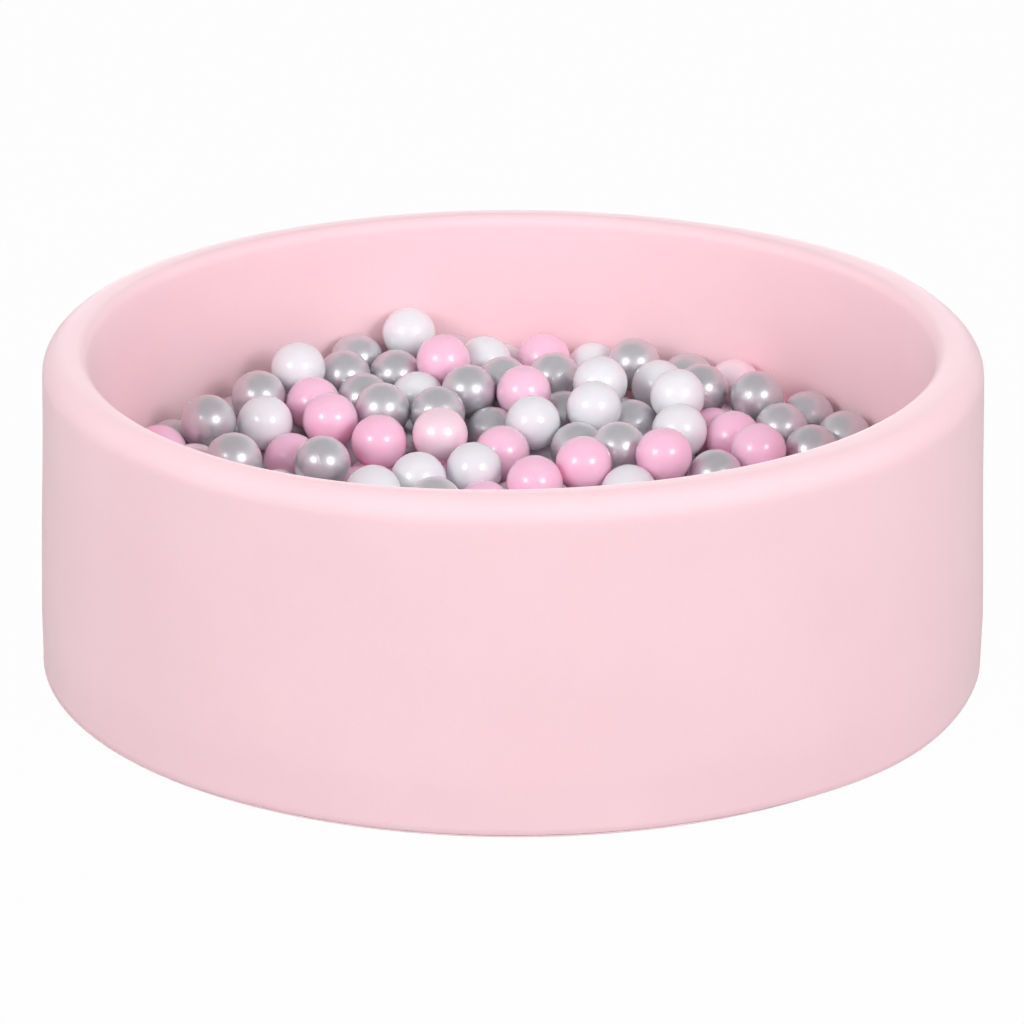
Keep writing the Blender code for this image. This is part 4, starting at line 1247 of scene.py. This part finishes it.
def hides_one(spot, seen):
    """Whether a ball at this spot would stand well in front of one that the photograph shows."""
    lines = seen - EYE_IN_BALLS
    far = np.linalg.norm(lines, axis=1)
    lines = lines / far[:, None]
    along = lines @ (spot - EYE_IN_BALLS)
    aside = np.linalg.norm(spot - EYE_IN_BALLS - lines * along[:, None], axis=1)
    return ((aside < HIDING) & (along < far)).any()


def gaps_filled(places, seen, wall):
    """Adds a lower ball wherever a gap between the others has room for it, in shallow gaps first."""
    steps = int(wall / GAP_STEP) + 1
    for height in GAP_HEIGHTS:
        for j in range(-steps, steps + 1):
            for i in range(-steps, steps + 1):
                x, y = i * GAP_STEP, j * GAP_STEP
                spot = np.array([x, y, SLOPE * y + height])
                if math.hypot(x, y) > wall or hides_one(spot, seen):
                    continue
                if np.linalg.norm(places - spot, axis=1).min() > GAP_NEAREST:
                    places = np.vstack([places, spot])
    return places


def fill_places(seen, spacing, wall):
    """The top layer's other balls: a close-packed pattern, shaken a little, wherever it finds room."""
    shake = np.random.default_rng(FILL_SEED)
    rows = int(wall / ROW_STEP) + 2
    found = []
    for j in range(-rows, rows + 1):
        for i in range(-rows, rows + 1):
            spot = np.array([(i + 0.5 * (j % 2)) * spacing, j * ROW_STEP * spacing, 0.0])
            spot[:2] += shake.uniform(-FILL_JITTER, FILL_JITTER, 2)
            spot[2] = SLOPE * spot[1] + shake.uniform(*FILL_HEIGHTS)
            if math.hypot(spot[0], spot[1]) > wall:
                continue
            if np.linalg.norm(seen - spot, axis=1).min() < FILL_NEAREST or hides_one(spot, seen):
                continue
            found.append(spot)
    places = np.vstack([seen, found])
    for _ in range(ROUNDS_BEFORE_GAPS):
        places = pushed_apart(places, spacing, wall, held=len(seen))
    places = gaps_filled(places, seen, wall)
    for _ in range(ROUNDS_AFTER_GAPS):
        places = pushed_apart(places, spacing, wall, held=len(seen))
    for _ in range(LAST_ROUNDS):
        places = pushed_apart(places, spacing, wall)
    return places


top_layer = fill_places(in_view, spacing, wall)
pick = np.random.default_rng(FILL_SEED + 1)
colours = [ball[2] for ball in SEEN_BALLS]
while len(colours) < len(top_layer):
    colours.append(COLOURS[int(pick.integers(len(COLOURS)))])
print(len(top_layer), "balls in the top layer")

# %% [markdown]
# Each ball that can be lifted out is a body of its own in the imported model, so it is matched to the
# settled ball at the same place.

# %% Match the loose balls
MATCH_WITHIN = 0.02
loose = {}
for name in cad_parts:
    if name.startswith("ball_") and name != "ball_bed":
        low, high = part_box(name)
        middle = np.array((low + high) / 2)
        in_balls = (middle - np.array([0.0, 0.0, HEAP_LEVEL])) / BALL_DIAMETER
        away = np.linalg.norm(top_layer - in_balls, axis=1)
        loose[name] = (int(away.argmin()), middle)
        if away.min() > MATCH_WITHIN:
            print("no settled ball at", name, round(float(away.min()), 3))
print(len(loose), "loose balls")

# %% [markdown]
# Under the top layer come the balls that carry it. They only show through gaps, or when a ball is lifted.
# Two layers start as shaken patterns 0.86 and 1.62 balls below the top one, and are pushed apart while the
# top layer stays. A ball that is still squeezed after that is left out.

# %% Fill the pit below
LOWER_DEPTHS = (0.86, 1.62)
LOWER_SPACING = 1.04
LOWER_SHIFT = 0.33
LOWER_JITTER = 0.1
LOWER_NEAREST = 0.80
LOWER_ROUNDS = 160
LOWER_KEPT_FROM = 0.985


def lower_places(above, spacing, wall):
    """Layers of balls under the top one, down to the floor of the pit."""
    shake = np.random.default_rng(FILL_SEED + 2)
    floor_level = (FLOOR_TOP + BALL_RADIUS - HEAP_LEVEL) / BALL_DIAMETER
    held, places = len(above), above
    rows = int(wall / ROW_STEP) + 2
    for layer, below in enumerate(LOWER_DEPTHS):
        for j in range(-rows, rows + 1):
            for i in range(-rows, rows + 1):
                x = (i + 0.5 * ((j + layer) % 2)) * LOWER_SPACING
                y = (j * ROW_STEP + LOWER_SHIFT * layer) * LOWER_SPACING
                x, y = np.array([x, y]) + shake.uniform(-LOWER_JITTER, LOWER_JITTER, 2)
                spot = np.array([x, y, max(floor_level, SLOPE * y - below)])
                if math.hypot(x, y) < wall and np.linalg.norm(places - spot, axis=1).min() > LOWER_NEAREST:
                    places = np.vstack([places, spot])
    for _ in range(LOWER_ROUNDS):
        places = pushed_apart(places, spacing, wall, held=held)
        places[held:, 2] = np.maximum(places[held:, 2], floor_level)
    apart = np.linalg.norm(places[held:, None] - places[None, :held], axis=2).min(axis=1)
    return places[held:][apart > LOWER_KEPT_FROM]


below = lower_places(top_layer, spacing, wall)
print(len(below), "balls below,", len(top_layer) + len(below), "in all")

# %% [markdown]
# One node tree makes the balls: a sphere on every point, each turned its own way, so no two seams line
# up. The sphere keeps its own surface position in an attribute before it is copied, and each copy gets
# a tone of its own.


# %% A ball on every point
def balls_tree():
    """A node tree that puts a turned, toned ball on every point."""
    tree = bpy.data.node_groups.new("a ball on every point", "GeometryNodeTree")
    tree.interface.new_socket("Geometry", in_out="INPUT", socket_type="NodeSocketGeometry")
    for name, value in (("Segments", 32), ("Rings", 16), ("Seed", 0)):
        tree.interface.new_socket(name, in_out="INPUT", socket_type="NodeSocketInt").default_value = value
    radius_input = tree.interface.new_socket("Radius", in_out="INPUT", socket_type="NodeSocketFloat")
    radius_input.default_value = BALL_RADIUS
    tree.interface.new_socket("Material", in_out="INPUT", socket_type="NodeSocketMaterial")
    tree.interface.new_socket("Geometry", in_out="OUTPUT", socket_type="NodeSocketGeometry")
    given = add(tree, "NodeGroupInput")
    unit = add(
        tree,
        "GeometryNodeMeshUVSphere",
        {"Segments": given.outputs["Segments"], "Rings": given.outputs["Rings"], "Radius": 1.0},
    )
    spot = add(tree, "GeometryNodeInputPosition")
    kept = add(
        tree,
        "GeometryNodeStoreNamedAttribute",
        {"Geometry": unit.outputs["Mesh"], "Name": "on_ball", "Value": spot.outputs[0]},
        data_type="FLOAT_VECTOR",
        domain="POINT",
    )
    soft = add(tree, "GeometryNodeSetShadeSmooth", {"Geometry": kept.outputs["Geometry"]})
    turn = add(
        tree,
        "FunctionNodeRandomValue",
        {"Min": (0.0, 0.0, 0.0), "Max": (math.tau, math.tau, math.tau), "Seed": given.outputs["Seed"]},
        data_type="FLOAT_VECTOR",
    )
    rotation = add(tree, "FunctionNodeEulerToRotation", {"Euler": turn.outputs["Value"]})
    radius = given.outputs["Radius"]
    size = add(tree, "ShaderNodeCombineXYZ", {"X": radius, "Y": radius, "Z": radius})
    copies = add(
        tree,
        "GeometryNodeInstanceOnPoints",
        {
            "Points": given.outputs["Geometry"],
            "Instance": soft.outputs["Geometry"],
            "Rotation": rotation.outputs[0],
            "Scale": size.outputs[0],
        },
    )
    tone = add(tree, "FunctionNodeRandomValue", {"Seed": given.outputs["Seed"]}, data_type="FLOAT")
    toned = add(
        tree,
        "GeometryNodeStoreNamedAttribute",
        {"Geometry": copies.outputs[0], "Name": "ball_tone", "Value": tone.outputs[1]},
        data_type="FLOAT",
        domain="INSTANCE",
    )
    real = add(tree, "GeometryNodeRealizeInstances", {"Geometry": toned.outputs["Geometry"]})
    done = add(
        tree,
        "GeometryNodeSetMaterial",
        {"Geometry": real.outputs[0], "Material": given.outputs["Material"]},
    )
    add(tree, "NodeGroupOutput", {"Geometry": done.outputs[0]})
    return tree


ball_tree = balls_tree()
print(ball_tree.name, "has", len(ball_tree.nodes), "nodes")

# %% [markdown]
# A loose ball is a piece of its own, and has the most faces because it can be lifted into plain view.
# The rest of the top layer is one piece for each colour, and so is what lies below, with the fewest
# faces. Below, two balls in five are pink, two are white and one is silver.

# %% Make the balls
LOWER_COLOURS = ("pink", "white", "pink", "white", "silver")
LOOSE_FACES, TOP_FACES, LOWER_FACES = (40, 20), (32, 16), (16, 8)


def balls(name, points, tint, faces, seed):
    """A piece with one ball on each point. Its faces are so many round, and so many from pole to pole."""
    settings = {
        "Segments": faces[0],
        "Rings": faces[1],
        "Seed": seed,
        "Radius": BALL_RADIUS,
        "Material": BALL_FINISHES[tint],
    }
    return grown(name, [tuple(p) for p in points], ball_tree, settings, edges=False)


def in_metres(places):
    """Places in ball diameters around the heap's level, as places in the pit."""
    return places * BALL_DIAMETER + np.array([0.0, 0.0, HEAP_LEVEL])


taken = {index for index, _ in loose.values()}
for number, (name, (index, middle)) in enumerate(sorted(loose.items())):
    tint = colours[index]
    made = balls(name + "_" + tint, [middle], tint, LOOSE_FACES, 100 + number)
    fitted(made, "loose_" + name, [name])
print(len(taken), "loose balls of", len(made.data.polygons), "faces each")

kept = [i for i in range(len(top_layer)) if i not in taken]
for tint in BALL_FINISHES:
    places = in_metres(np.array([top_layer[i] for i in kept if colours[i] == tint]))
    bed = balls("bed_top_" + tint, places, tint, TOP_FACES, 11 + len(tint))
    fitted(bed, "pit", ["ball_bed"])
    print(bed.name, len(places), "balls")

for k, tint in enumerate(COLOURS):
    places = in_metres(np.array([p for i, p in enumerate(below) if LOWER_COLOURS[i % 5] == tint]))
    bed = balls("bed_below_" + tint, places, tint, LOWER_FACES, 31 + k)
    fitted(bed, "pit", ["ball_bed"])
    print(bed.name, len(places), "balls")
